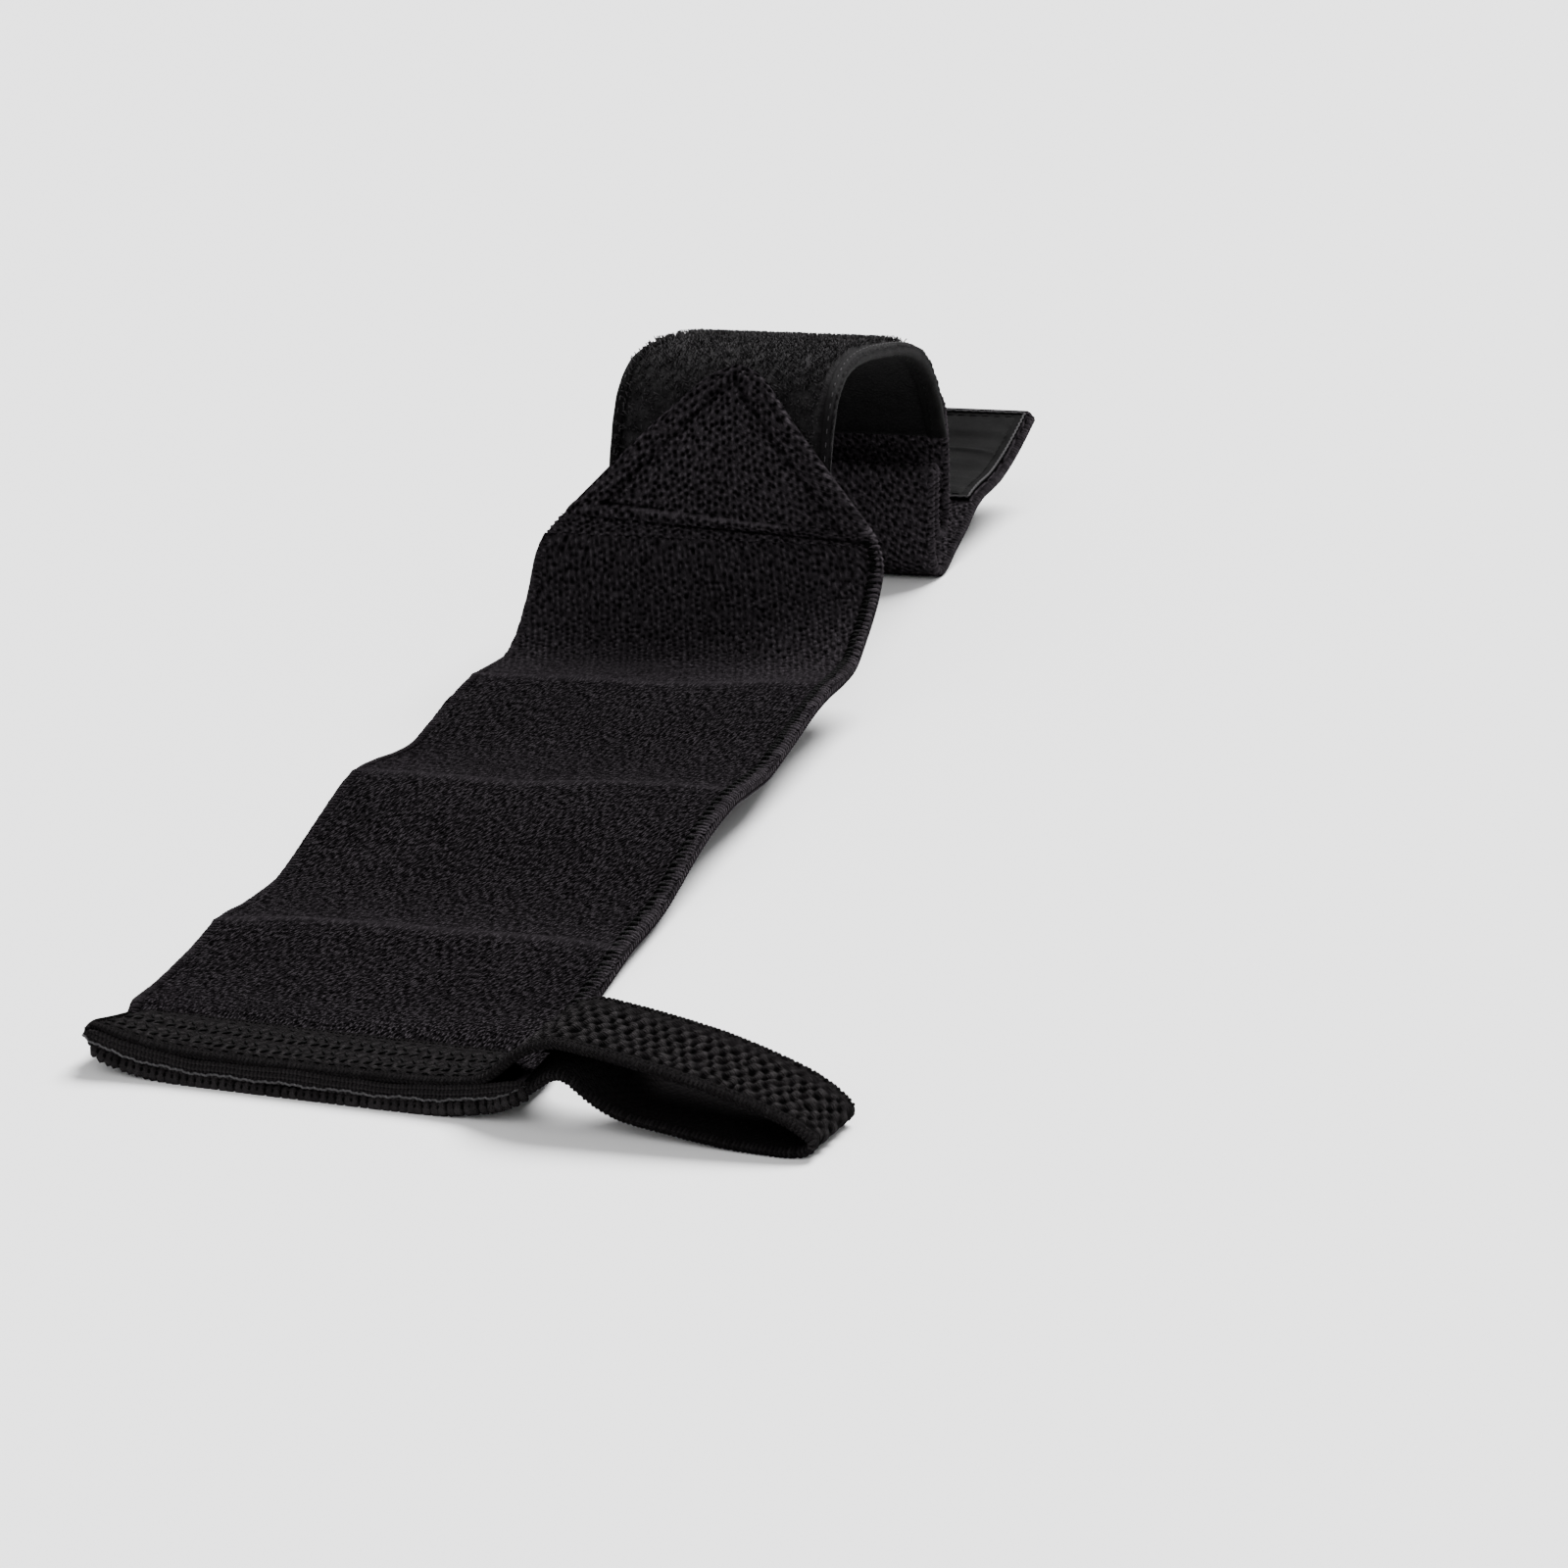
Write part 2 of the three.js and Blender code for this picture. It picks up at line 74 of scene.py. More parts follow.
camera = bpy.data.objects.new("camera", bpy.data.cameras.new("camera"))
camera.data.lens = CAMERA_LENS
camera.data.sensor_width = 36
camera.data.clip_end = 50
camera.location = (CAMERA_PLACE + ORIGIN) * MM
level = math.cos(CAMERA_PITCH)
direction = Vector(
    (-math.sin(CAMERA_TURN) * level, math.cos(CAMERA_TURN) * level, -math.sin(CAMERA_PITCH))
)
camera.rotation_euler = direction.to_track_quat("-Z", "Y").to_euler()
bpy.context.collection.objects.link(camera)
bpy.context.scene.camera = camera
print("solids:", ", ".join(sorted(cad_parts)))

# %% [markdown]
# ## Sizes
# These are the sizes of the real wrap in millimetres, the same ones the solids were built with.
# Yarns, ribs and stitches are added here, because they are too small to be solids.
# %% Name the sizes
GAP = 0.3

BAND_WIDTH = 80.0
BAND_THICKNESS = 2.8
BAND_RUN = 290.0
FOLD_HEIGHT = 12.0
POINT_HEIGHT = 40.0
POINT_TIP_WIDTH = 8.0
POINT_SHIFT = 3.0
CORNER_THICKNESS = 1.1
WELT_FROM_FOOT = 5.0
WELT_WIDTH = 5.0
WELT_HEIGHT = 1.1
WELT_SKEW = math.radians(4)

STRAP_WIDTH = 20.0
STRAP_THICKNESS = 1.5
STRAP_INSET = 2.8
LOOP_SPREAD = 1.8
HEM_THICKNESS = 1.8
HEM_START = -6.5
HEM_SKEW = math.radians(8.3)
HEM_LIFT = 5.5
HEM_SWAY_LEFT = 3.0
HEM_SWAY_RIGHT = 4.5
HEM_SETBACK = 0.5
LOWER_STRAP_FORWARD = 1.5
LOOP_REACH = 55.2
LOOP_HEIGHT = 15.2
LOOP_FAR_EDGE_RISE = 1.6

ARCH_SPAN = 122.0
ARCH_HEIGHT = 71.2
PANEL_LENGTH = 163.0
PANEL_BASE = 1.2
PILE_HEIGHT = 1.9
BINDING_WALL = 0.7
BINDING_OUTER_FLAP = 2.6
BINDING_INNER_FLAP = 4.5

TAIL_WIDTH = 50.0
TAIL_THICKNESS = 2.2
TAIL_OVERLAP = 14.0
SEAM_TUCK = 4.5
DROP_LEAN = 1.2
VALLEY_RADIUS = 5.5
VALLEY_HEIGHT = 16.0
RIDGE_RADIUS = 2.4
RIDGE_HEIGHT = 26.3
CURL_RADIUS = 11.8
TAB_RUN = 100.0
TAB_HEIGHT = 22.0
PATCH_LENGTH = 64.0
PATCH_END_MARGIN = 3.0
LABEL_WIDTH = 46.0
LABEL_THICKNESS = 0.6
HOOK_WIDTH = 48.0

half = BAND_WIDTH / 2
SEED = 1326
rng = np.random.default_rng(SEED)

# %% [markdown]
# ## Section tables
# Cloth that has lain rolled up keeps waves. Each row says how high the band's underside is at its left
# and right edges, as a share of FOLD_HEIGHT. The other tables follow the thumb loop, arch and tab.
# %% Write the section tables
# along BAND_RUN, left, right, and how much of the hem's skew is left
BAND_FOLDS = [
    (0, 0.15, 0.15, 1), (0.035, 0.15, 0.15, 1), (0.075, 0.15, 0.15, 0.95), (0.108, 0.08, 0.1, 0.6),
    (0.145, -0.01, -0.01, 0.25), (0.19, -0.01, -0.01, 0.08), (0.235, 0.027, 0.057, 0),
    (0.285, 0.147, 0.157, 0), (0.33, 0.037, 0.167, 0), (0.37, -0.01, 0.207, 0),
    (0.405, -0.01, 0.327, 0), (0.45, 0.177, 0.517, 0), (0.5, 0.467, 0.667, 0), (0.56, 0.737, 0.717, 0),
    (0.6, 0.667, 0.647, 0), (0.65, 0.497, 0.567, 0), (0.69, 0.427, 0.627, 0), (0.735, 0.527, 0.737, 0),
    (0.79, 0.707, 0.877, 0), (0.832, 0.797, 0.917, 0), (0.88, 0.737, 0.897, 0),
    (0.918, 0.697, 0.967, 0), (0.945, 0.867, 1.247, 0), (0.97, 1.267, 1.567, 0),
    (0.99, 1.787, 1.917, 0),
]
# across as a share of half the band, lift as a share of HEM_LIFT
HEM_LIFTS = np.array([
    (-1.05, 1.05), (-0.98, 0.84), (-0.87, 0.58), (-0.74, 0.31), (-0.6, 0.12), (-0.4, 0.0),
    (0.5, 0.0), (0.74, 0.09), (0.87, 0.23), (0.98, 0.39), (1.1, 0.58), (1.17, 0.68),
])
# out along LOOP_REACH, rise of LOOP_HEIGHT, tilt
LOOP_OUT = [
    (-0.035, 0.5, 0.1), (0.035, 0.74, 0.4), (0.1, 0.91, 0.8), (0.17, 0.995, 1), (0.28, 0.955, 1),
    (0.43, 0.86, 1), (0.58, 0.74, 1), (0.73, 0.6, 0.8), (0.87, 0.43, 0.6), (0.955, 0.28, 0.3),
    (0.995, 0.14, 0.1), (0.975, 0.035, 0),
]
LOOP_BACK = [
    (0.92, 0, 0), (0.83, 0, 0), (0.7, 0.03, 0.2), (0.55, 0.11, 0.3), (0.4, 0.2, 0.4),
    (0.28, 0.33, 0.4), (0.21, 0.37, 0.3),
]
# run along ARCH_SPAN, rise of ARCH_HEIGHT
ARCH_LINE = [
    (0.0, 0.463), (0.007, 0.59), (0.021, 0.716), (0.046, 0.836), (0.088, 0.927), (0.15, 0.981),
    (0.235, 1.0), (0.34, 0.994), (0.457, 0.972), (0.588, 0.941), (0.71, 0.899), (0.8, 0.843),
    (0.875, 0.758), (0.932, 0.653), (0.97, 0.534), (0.99, 0.42),
]
# run along TAB_RUN, rise of TAB_HEIGHT
TAB_LINE = [
    (0.12, 0.15), (0.23, 0.29), (0.34, 0.46), (0.44, 0.52), (0.58, 0.54), (0.74, 0.66), (0.89, 0.84),
    (1.0, 1.0),
]
print("band rows:", len(BAND_FOLDS), "loop rows:", len(LOOP_OUT) + len(LOOP_BACK))

# %% [markdown]
# ## Smooth lines
# Cloth bends without kinks, so the tables are joined with a centripetal Catmull-Rom curve. It passes
# through every given point and doesn't overshoot between points that stand close together.
# %% Make the curve helpers
def smooth(points, steps=24):
    """A centripetal Catmull-Rom line through the points, as many short steps."""
    p = np.asarray(points, float)
    p = np.vstack([2 * p[0] - p[1], p, 2 * p[-1] - p[-2]])
    span = np.maximum(np.linalg.norm(np.diff(p, axis=0), axis=1) ** 0.5, 1e-4)[:, None]
    a, b, c = span[:-2], span[1:-1], span[2:]
    p0, p1, p2, p3 = p[:-3], p[1:-2], p[2:-1], p[3:]
    m1 = ((p1 - p0) / a - (p2 - p0) / (a + b) + (p2 - p1) / b) * b
    m2 = ((p2 - p1) / b - (p3 - p1) / (b + c) + (p3 - p2) / c) * b
    t = np.linspace(0, 1, steps, endpoint=False)[:, None, None]
    line = (
        (2 * t**3 - 3 * t**2 + 1) * p1
        + (t**3 - 2 * t**2 + t) * m1
        + (-2 * t**3 + 3 * t**2) * p2
        + (t**3 - t**2) * m2
    )
    line = line.transpose(1, 0, 2).reshape(-1, p.shape[1])
    return np.vstack([line, p[-2]])


def lengths(line):
    """The distance along a line at each of its points."""
    return np.concatenate([[0], np.cumsum(np.linalg.norm(np.diff(line, axis=0), axis=1))])


def between(distances, run, rows):
    """Rows of numbers read at these distances, where run gives each row's own distance."""
    return np.stack([np.interp(distances, run, rows[:, k]) for k in range(rows.shape[1])], axis=-1)


def unit(v):
    """The same directions, each 1 long."""
    return v / np.maximum(np.linalg.norm(v, axis=-1, keepdims=True), 1e-12)


def smoothstep(value, low, high):
    """0 below low and 1 above high, with a soft change from one to the other."""
    t = np.clip((value - low) / (high - low), 0, 1)
    return t * t * (3 - 2 * t)


print("halfway up a soft step:", smoothstep(0.5, 0, 1))

# %% [markdown]
# ## The arch's path
# A strip of cloth follows a line in the wrap's own side view. At each step along it, a path knows the
# place, the way across the cloth and the way out of it, so any point on a bent strip can be named by
# how far along, across and out it is. The arch is the first such line, drawn from its section table.
# %% Follow the arch
ACROSS = np.array([1.0, 0, 0])


class Path:
    """Stations along a line in the wrap's side view: place, across and out, one row for each step."""

    def __init__(self, line_yz, start, end, step):
        count = max(3, int(round((end - start) / step)) + 1)
        self.s = np.linspace(start, end, count)
        yz = between(self.s, lengths(line_yz), line_yz)
        tangent = unit(np.gradient(yz, axis=0))
        zero = np.zeros(count)
        self.place = np.stack([middle_x(yz[:, 0]), yz[:, 0], yz[:, 1]], axis=1)
        self.across = np.stack([zero + 1, zero, zero], axis=1)
        self.out = np.stack([zero, -tangent[:, 1], tangent[:, 0]], axis=1)

    def point(self, x, h):
        """Points x across and h out of the path; x and h have one row for each step, or one in all."""
        x, h = np.broadcast_arrays(np.asarray(x, float), np.asarray(h, float))
        if x.ndim == 1:
            x, h = np.tile(x, (len(self.s), 1)), np.tile(h, (len(self.s), 1))
        moved = self.place[:, None] + self.across[:, None] * x[..., None]
        return moved + self.out[:, None] * h[..., None]

    def read(self, s):
        """The path's place and its way out at the distances s."""
        return between(s, self.s, self.place), between(s, self.s, self.out)


def thin_end(s):
    """The panel and its bindings are pressed thin where the tail is sewn over their end."""
    return 1 - 0.5 * smoothstep(s, PANEL_LENGTH - TAIL_OVERLAP, PANEL_LENGTH - 2)[:, None]


arch = smooth([(ARCH_FOOT + run * ARCH_SPAN, rise * ARCH_HEIGHT) for run, rise in ARCH_LINE])
panel_back = -(PANEL_BASE + PILE_HEIGHT)
print(f"arch line: {lengths(arch)[-1]:.0f} mm")

# %% [markdown]
# ## The tail's line
# Behind the arch the strip drops, folds and curls before it runs out to the tab. The fold is made of
# three round arcs, because loose elastic bends in even curves, and the tab's own table follows them.
# %% Run the tail's line
def arc(centre_y, centre_z, radius, from_degrees, to_degrees, steps):
    """Points on a round bend in the side view."""
    angles = np.radians(np.linspace(from_degrees, to_degrees, steps + 1))
    return np.stack([centre_y + radius * np.cos(angles), centre_z + radius * np.sin(angles)], axis=1)


def tail_line():
    """The middle of the tail: over the panel's end, down, through the fold and curl, to the tab."""
    sewn = Path(arch, PANEL_LENGTH - TAIL_OVERLAP, PANEL_LENGTH, TAIL_OVERLAP / 2)
    sewn = sewn.point([0], [GAP + TAIL_THICKNESS / 2])[:, 0, 1:]
    valley = sewn[-1, 0] + DROP_LEAN - VALLEY_RADIUS
    ridge = valley - VALLEY_RADIUS - RIDGE_RADIUS
    curl = ridge - RIDGE_RADIUS + CURL_RADIUS
    rest = TAIL_THICKNESS / 2
    tab = [(curl + run * TAB_RUN, rest + rise * (TAB_HEIGHT - rest)) for run, rise in TAB_LINE]
    return smooth(
        np.vstack([
            sewn,
            arc(valley, VALLEY_HEIGHT, VALLEY_RADIUS, 0, -180, 6),
            arc(ridge, RIDGE_HEIGHT, RIDGE_RADIUS, 0, 180, 6),
            arc(curl, rest + CURL_RADIUS, CURL_RADIUS, 180, 270, 4),
            tab,
        ])
    )


tail = tail_line()
tail_length = lengths(tail)[-1]
print(f"tail line: {tail_length:.0f} mm")

# %% [markdown]
# ## From points to a piece
# All pieces are made from arrays of points, because yarn relief needs many thousands of them in known
# places. Each piece gets a UV map in millimetres, across and along the cloth, which its weave follows
# round every bend, and named values for each point, which its finish reads as tone.
# %% Make a piece from points
def to_frame(points):
    """Millimetres from the hem's middle, turned into metres in the solids' own frame."""
    return (np.asarray(points, float) + ORIGIN) * MM


def add_piece(name, vertices, faces, uv, material, nodes, values=None):
    """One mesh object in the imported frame. faces has one array of indices for each face size."""
    mesh = bpy.data.meshes.new(name)
    loops = np.concatenate([f.ravel() for f in faces]).astype(np.int32)
    totals = np.concatenate([np.full(len(f), f.shape[1]) for f in faces]).astype(np.int32)
    starts = np.concatenate([[0], np.cumsum(totals)[:-1]]).astype(np.int32)
    mesh.vertices.add(len(vertices))
    mesh.vertices.foreach_set("co", to_frame(vertices).astype(np.float32).ravel())
    mesh.loops.add(len(loops))
    mesh.loops.foreach_set("vertex_index", loops)
    mesh.polygons.add(len(totals))
    mesh.polygons.foreach_set("loop_start", starts)
    mesh.polygons.foreach_set("loop_total", totals)
    mesh.polygons.foreach_set("use_smooth", np.full(len(totals), True))
    mesh.update(calc_edges=True)
    layer = mesh.uv_layers.new(name="cloth")
    layer.data.foreach_set("uv", np.asarray(uv, np.float32)[loops].ravel())
    for key, value in (values or {}).items():
        field = mesh.attributes.new(key, "FLOAT", "POINT")
        field.data.foreach_set("value", np.asarray(value, np.float32).ravel())
    mesh.materials.append(material)
    piece = bpy.data.objects.new(name, mesh)
    bpy.context.collection.objects.link(piece)
    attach(piece, "root")
    if nodes:
        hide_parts(*nodes)
    print(f"{name}: {int((totals - 2).sum())} triangles")
    return piece


print("the hem's middle in the solids' frame:", np.round(to_frame([0, 0, 0]), 4))

# %% [markdown]
# ## Swept cloth
# Every flat piece of cloth is a closed section swept along its stations, so it has a real thickness and
# a face on both sides. A bevelled curve would be shorter to write, but no point of its face could be
# raised.
# %% Sweep a section
def grid_faces(rows, columns, closed):
    """Quads between neighbouring rows of points; closed joins the last column to the first."""
    r = np.arange(rows - 1)[:, None]
    c = np.arange(columns if closed else columns - 1)[None, :]
    n = (c + 1) % columns
    quads = [r * columns + c, (r + 1) * columns + c, (r + 1) * columns + n, r * columns + n]
    return np.stack([np.broadcast_to(q, (rows - 1, c.shape[1])) for q in quads], axis=-1).reshape(-1, 4)


def sweep(name, loops, along, material, nodes, values=None, across=None):
    """A closed solid from loops of points. Each loop is the face, then the underside back again."""
    rows, columns = loops.shape[:2]
    round_it = np.linalg.norm(np.diff(loops, axis=1, append=loops[:, :1]), axis=2).mean(axis=0)
    if across is None:
        across = np.concatenate([[0], np.cumsum(round_it)[:-1]])[None, :]
    uv = np.stack(np.broadcast_arrays(across, along[:, None]), axis=-1).reshape(-1, 2)
    side = grid_faces(rows, columns, True)
    ends = np.array([np.arange(columns), (rows - 1) * columns + np.arange(columns)[::-1]])
    return add_piece(name, loops.reshape(-1, 3), [side, ends], uv, material, nodes, values)


print("faces of a closed strip of 3 by 4 points:", len(grid_faces(3, 4, True)))

# %% [markdown]
# ## Threads as tubes
# Stitches, edge ribs, cords and pile loops are all short lengths of yarn. Hundreds or thousands of
# small tubes in one mesh cast real shadows and break the outline, which no bump in a finish can do.
# %% Make tubes
def tubes(name, paths, radii, sides, material, tone=None):
    """Many short tubes in one mesh. paths is (tubes, points, 3) and radii one value for each point."""
    count, points = paths.shape[:2]
    tangent = unit(np.gradient(paths, axis=1))
    guide = np.where(np.abs(tangent[..., 2:]) > 0.9, [[[1.0, 0, 0]]], [[[0, 0, 1.0]]])
    first = unit(np.cross(tangent, guide))
    second = np.cross(tangent, first)
    turn = np.linspace(0, 2 * np.pi, sides, endpoint=False)
    ring = first[:, :, None] * np.cos(turn)[:, None] + second[:, :, None] * np.sin(turn)[:, None]
    vertices = paths[:, :, None] + ring * np.asarray(radii)[None, :, None, None]
    quads = grid_faces(points, sides, True)[:, ::-1]
    ends = np.array([np.arange(sides), (points - 1) * sides + np.arange(sides)[::-1]])
    offset = (np.arange(count) * points * sides)[:, None, None]
    faces = [(quads[None] + offset).reshape(-1, 4), (ends[None] + offset).reshape(-1, sides)]
    along = lengths(paths[0])
    tone = np.broadcast_to(np.full(points, 0.8) if tone is None else tone, (count, points))
    values = {"raised": np.repeat(tone, sides, axis=1), "coarse": np.ones(count * points * sides)}
    uv = np.broadcast_to(
        np.stack(np.broadcast_arrays(turn[None, :], along[:, None]), axis=-1)[None],
        (count, points, sides, 2),
    )
    return add_piece(
        name, vertices.reshape(-1, 3), faces, uv.reshape(-1, 2), material, [], values
    )


print("faces of a tube with 5 points and 6 sides:", len(grid_faces(5, 6, True)) + 2)

# %% [markdown]
# ## Unevenness
# No handled cloth is flat. Random heights every few steps, blended softly between them, give the slow
# swells and the fine roughness of each piece. One seed starts them all, so no two runs differ.
# %% Make seeded unevenness
def value_noise(rows, columns, cell_rows, cell_columns, strength):
    """Smooth unevenness on a grid: random values every few cells, blended between them."""
    r = np.arange(rows) / cell_rows
    c = np.arange(columns) / cell_columns
    table = rng.uniform(-1, 1, (int(r[-1]) + 2, int(c[-1]) + 2))
    fr, fc = r % 1, c % 1
    fr, fc = (3 - 2 * fr) * fr**2, (3 - 2 * fc) * fc**2
    ir, ic = r.astype(int), c.astype(int)
    low = table[ir][:, ic] * (1 - fc) + table[ir][:, ic + 1] * fc
    high = table[ir + 1][:, ic] * (1 - fc) + table[ir + 1][:, ic + 1] * fc
    return strength * (low * (1 - fr[:, None]) + high * fr[:, None])


print("seed:", SEED)

# %% [markdown]
# ## The band's rails
# Two smooth rails run along the band's long edges, from the hem over the waves and up the arch's front
# leg. At each distance from the hem, the cloth stretches straight from one rail to the other.
# %% Lay the band's rails
def band_rails():
    """The band's left and right edge lines, from its fold table and then up the arch's leg."""
    rows = []
    for along, left, right, skew in BAND_FOLDS:
        y = HEM_START + along * (BAND_RUN - HEM_START)
        turn = half * math.tan(HEM_SKEW) * skew
        x = middle_x(y)
        rows.append([
            (x - half + HEM_SWAY_LEFT * skew**2, y + turn, left * FOLD_HEIGHT),
            (x + half + HEM_SWAY_RIGHT * skew**2, y - turn, right * FOLD_HEIGHT),
        ])
    reach = POINT_HEIGHT - WELT_FROM_FOOT + WELT_WIDTH / 2
    fine = Path(arch, 0, reach + 4, 0.25)
    leg = fine.point([-half, half], [1.5 * GAP + CORNER_THICKNESS] * 2)
    for share in (0.03, 0.16, 0.3, 0.44, 0.58, 0.72, 0.86, 1):
        i = int(np.argmin(np.abs(fine.s - share * reach)))
        rows.append([tuple(leg[i, 0]), tuple(leg[i, 1])])
    rows = np.array(rows)
    return smooth(rows[:, 0]), smooth(rows[:, 1])


left_rail, right_rail = band_rails()
rail_distance = lengths((left_rail + right_rail) / 2)
band_length = rail_distance[-1]
point_foot = band_length - POINT_HEIGHT
welt_place = point_foot + WELT_FROM_FOOT
print(f"band {band_length:.0f} mm from hem to tip, the point starts at {point_foot:.0f} mm")

# %% [markdown]
# ## Points on the band
# The corners at the hem curl up as the strap's stitches pull, and the far end narrows to a blunt point.
# Everything sewn to the band asks one function for its place, so ribs and stitches stay on the cloth.
# %% Find points on the band
POINT_SLOPE = (1 - POINT_TIP_WIDTH / BAND_WIDTH) / POINT_HEIGHT
POINT_TURN = 8.0
TIP_ROUNDING = 4


def front_lift(x):
    """How far the hem is lifted at x across."""
    return HEM_LIFT * np.interp(x / half, HEM_LIFTS[:, 0], HEM_LIFTS[:, 1])


def hem_lift(x, y):
    """The hem's lift, fading to nothing over the strap's width."""
    from_hem = y - HEM_START + x * math.tan(HEM_SKEW)
    return (1 - np.clip(from_hem / STRAP_WIDTH, 0, 1)) * front_lift(x)


def half_width(d):
    """The band's width as a share of its full width: 1, then narrowing to the point's rounded tip."""
    past = np.asarray(d, float) - point_foot
    rounded = np.clip(past + POINT_TURN, 0, None) ** 2 / (4 * POINT_TURN)
    narrowing = np.where(past < POINT_TURN, rounded, past)
    tip = np.clip((past - POINT_HEIGHT + TIP_ROUNDING) / TIP_ROUNDING, 0, 1)
    return (1 - POINT_SLOPE * narrowing) * np.sqrt(1 - 0.75 * tip**2)


def on_band(d, x, height):
    """Points on the band: d from the hem, x from its middle line, height over its underside."""
    d, x, height = np.broadcast_arrays(d, x, height)
    left = between(d, rail_distance, left_rail)
    right = between(d, rail_distance, right_rail)
    across = right - left
    reach = np.linalg.norm(across, axis=-1, keepdims=True) / 2
    across = across / (2 * reach)
    tangent = between(d, rail_distance, np.gradient(left_rail + right_rail, axis=0))
    out = unit(np.cross(across, tangent))
    shift = POINT_SHIFT * np.clip((d - point_foot) / POINT_HEIGHT, 0, 1)
    away = shift[..., None] + x[..., None] * reach / half
    p = (left + right) / 2 + across * away + out * height[..., None]
    p[..., 2] = np.maximum(p[..., 2] + hem_lift(p[..., 0], p[..., 1]), 0)
    return p


def band_thickness(d):
    """Pressed thin under the strap, and full just past it."""
    full = smoothstep(d, STRAP_WIDTH, STRAP_WIDTH * 1.4)
    return HEM_THICKNESS + (BAND_THICKNESS - HEM_THICKNESS) * full


print(f"the hem's corners lift by {front_lift(-half):.1f} and {front_lift(half):.1f} mm")

# %% [markdown]
# ## Finishes
# All the cloth is black, so form and light do most of the work. Each finish still has its own yarn
# pattern in millimetres on the UV map: cells for nubs, fine bands for ribs, and noise for loose fibres.
# A small helper adds the nodes, so that each finish below reads as a short recipe.
# %% Make the finish helper
def new_material(name):
    """An empty node material, with its nodes and links at hand."""
    material = bpy.data.materials.new(name)
    material.use_nodes = True
    nodes = material.node_tree.nodes
    nodes.clear()
    return material, nodes, material.node_tree.links


# Blender's wave texture repeats every 2 pi / 20 of its input, so this scale puts two bands in 1 mm
WAVE_SCALE = 0.628318


class Finish:
    """A small helper that adds nodes from left to right and joins them."""

    def __init__(self, name, roughness, sheen, specular=0.25):
        self.material, self.nodes, self.links = new_material(name)
        self.shader = self.nodes.new("ShaderNodeBsdfPrincipled")
        output = self.nodes.new("ShaderNodeOutputMaterial")
        self.links.new(self.shader.outputs["BSDF"], output.inputs["Surface"])
        self.shader.inputs["Roughness"].default_value = roughness
        self.shader.inputs["Sheen Weight"].default_value = sheen
        self.shader.inputs["Sheen Roughness"].default_value = 0.5
        self.shader.inputs["Specular IOR Level"].default_value = specular
        self.uv = self.nodes.new("ShaderNodeUVMap")
        self.uv.uv_map = "cloth"
        self.place = self.nodes.new("ShaderNodeTexCoord").outputs["Object"]

    def node(self, kind, **settings):
        """A new node with these settings."""
        node = self.nodes.new(kind)
        for key, value in settings.items():
            setattr(node, key, value)
        return node

    def mapped(self, scale, turn=0.0, source=None):
        """Coordinates scaled, and turned by this many degrees."""
        mapping = self.node("ShaderNodeMapping")
        mapping.inputs["Scale"].default_value = scale
        mapping.inputs["Rotation"].default_value = (0, 0, math.radians(turn))
        self.links.new(source or self.uv.outputs["UV"], mapping.inputs["Vector"])
        return mapping.outputs["Vector"]

    def cells(self, wide, long, turn=0.0, uneven=0.4):
        """Rounded nubs: 1 at a nub's middle, falling to 0 between the nubs."""
        voronoi = self.node("ShaderNodeTexVoronoi", voronoi_dimensions="2D")
        voronoi.inputs["Scale"].default_value = 1.0
        voronoi.inputs["Randomness"].default_value = uneven
        turned = self.mapped((1, 1, 1), turn)
        self.links.new(self.mapped((1 / wide, 1 / long, 1), 0, turned), voronoi.inputs["Vector"])
        return self.ramp(voronoi.outputs["Distance"], 0.62, 0.1)

    def noise(self, size, detail=2.0):
        """Soft unevenness of this size in millimetres, fixed to the object."""
        noise = self.node("ShaderNodeTexNoise")
        noise.inputs["Scale"].default_value = 1.0
        noise.inputs["Detail"].default_value = detail
        each = 1 / (size * MM)
        self.links.new(self.mapped((each, each, each), 0, self.place), noise.inputs["Vector"])
        return noise.outputs["Fac"]

    def bands(self, pitch, direction, distortion=0.3):
        """Fine ribs at right angles to the direction, two of them in each pitch."""
        wave = self.node("ShaderNodeTexWave", wave_type="BANDS", bands_direction=direction)
        wave.inputs["Scale"].default_value = 1.0
        wave.inputs["Distortion"].default_value = distortion
        wave.inputs["Detail"].default_value = 1.0
        scale = WAVE_SCALE / pitch
        self.links.new(self.mapped((scale, scale, scale)), wave.inputs["Vector"])
        return wave.outputs["Fac"]

    def ramp(self, value, low, high, to_low=0.0, to_high=1.0):
        """A soft step between low and high, in either order."""
        mapped = self.node("ShaderNodeMapRange", interpolation_type="SMOOTHSTEP")
        mapped.inputs["From Min"].default_value = min(low, high)
        mapped.inputs["From Max"].default_value = max(low, high)
        first, last = (to_low, to_high) if low < high else (to_high, to_low)
        mapped.inputs["To Min"].default_value = first
        mapped.inputs["To Max"].default_value = last
        self.links.new(value, mapped.inputs["Value"])
        return mapped.outputs["Result"]

    def math(self, operation, a, b):
        """One sum of two values, each a number or a socket."""
        node = self.node("ShaderNodeMath", operation=operation)
        for socket, value in zip(node.inputs, (a, b)):
            if isinstance(value, (int, float)):
                socket.default_value = value
            else:
                self.links.new(value, socket)
        return node.outputs["Value"]

    def mix(self, factor, a, b):
        """a where the factor is 0 and b where it is 1, for plain values."""
        rest = self.math("SUBTRACT", 1.0, factor)
        return self.math("ADD", self.math("MULTIPLY", a, rest), self.math("MULTIPLY", b, factor))

    def attribute(self, name):
        """A value that the mesh holds for each of its points."""
        node = self.node("ShaderNodeAttribute")
        node.attribute_name = name
        return node.outputs["Fac"]

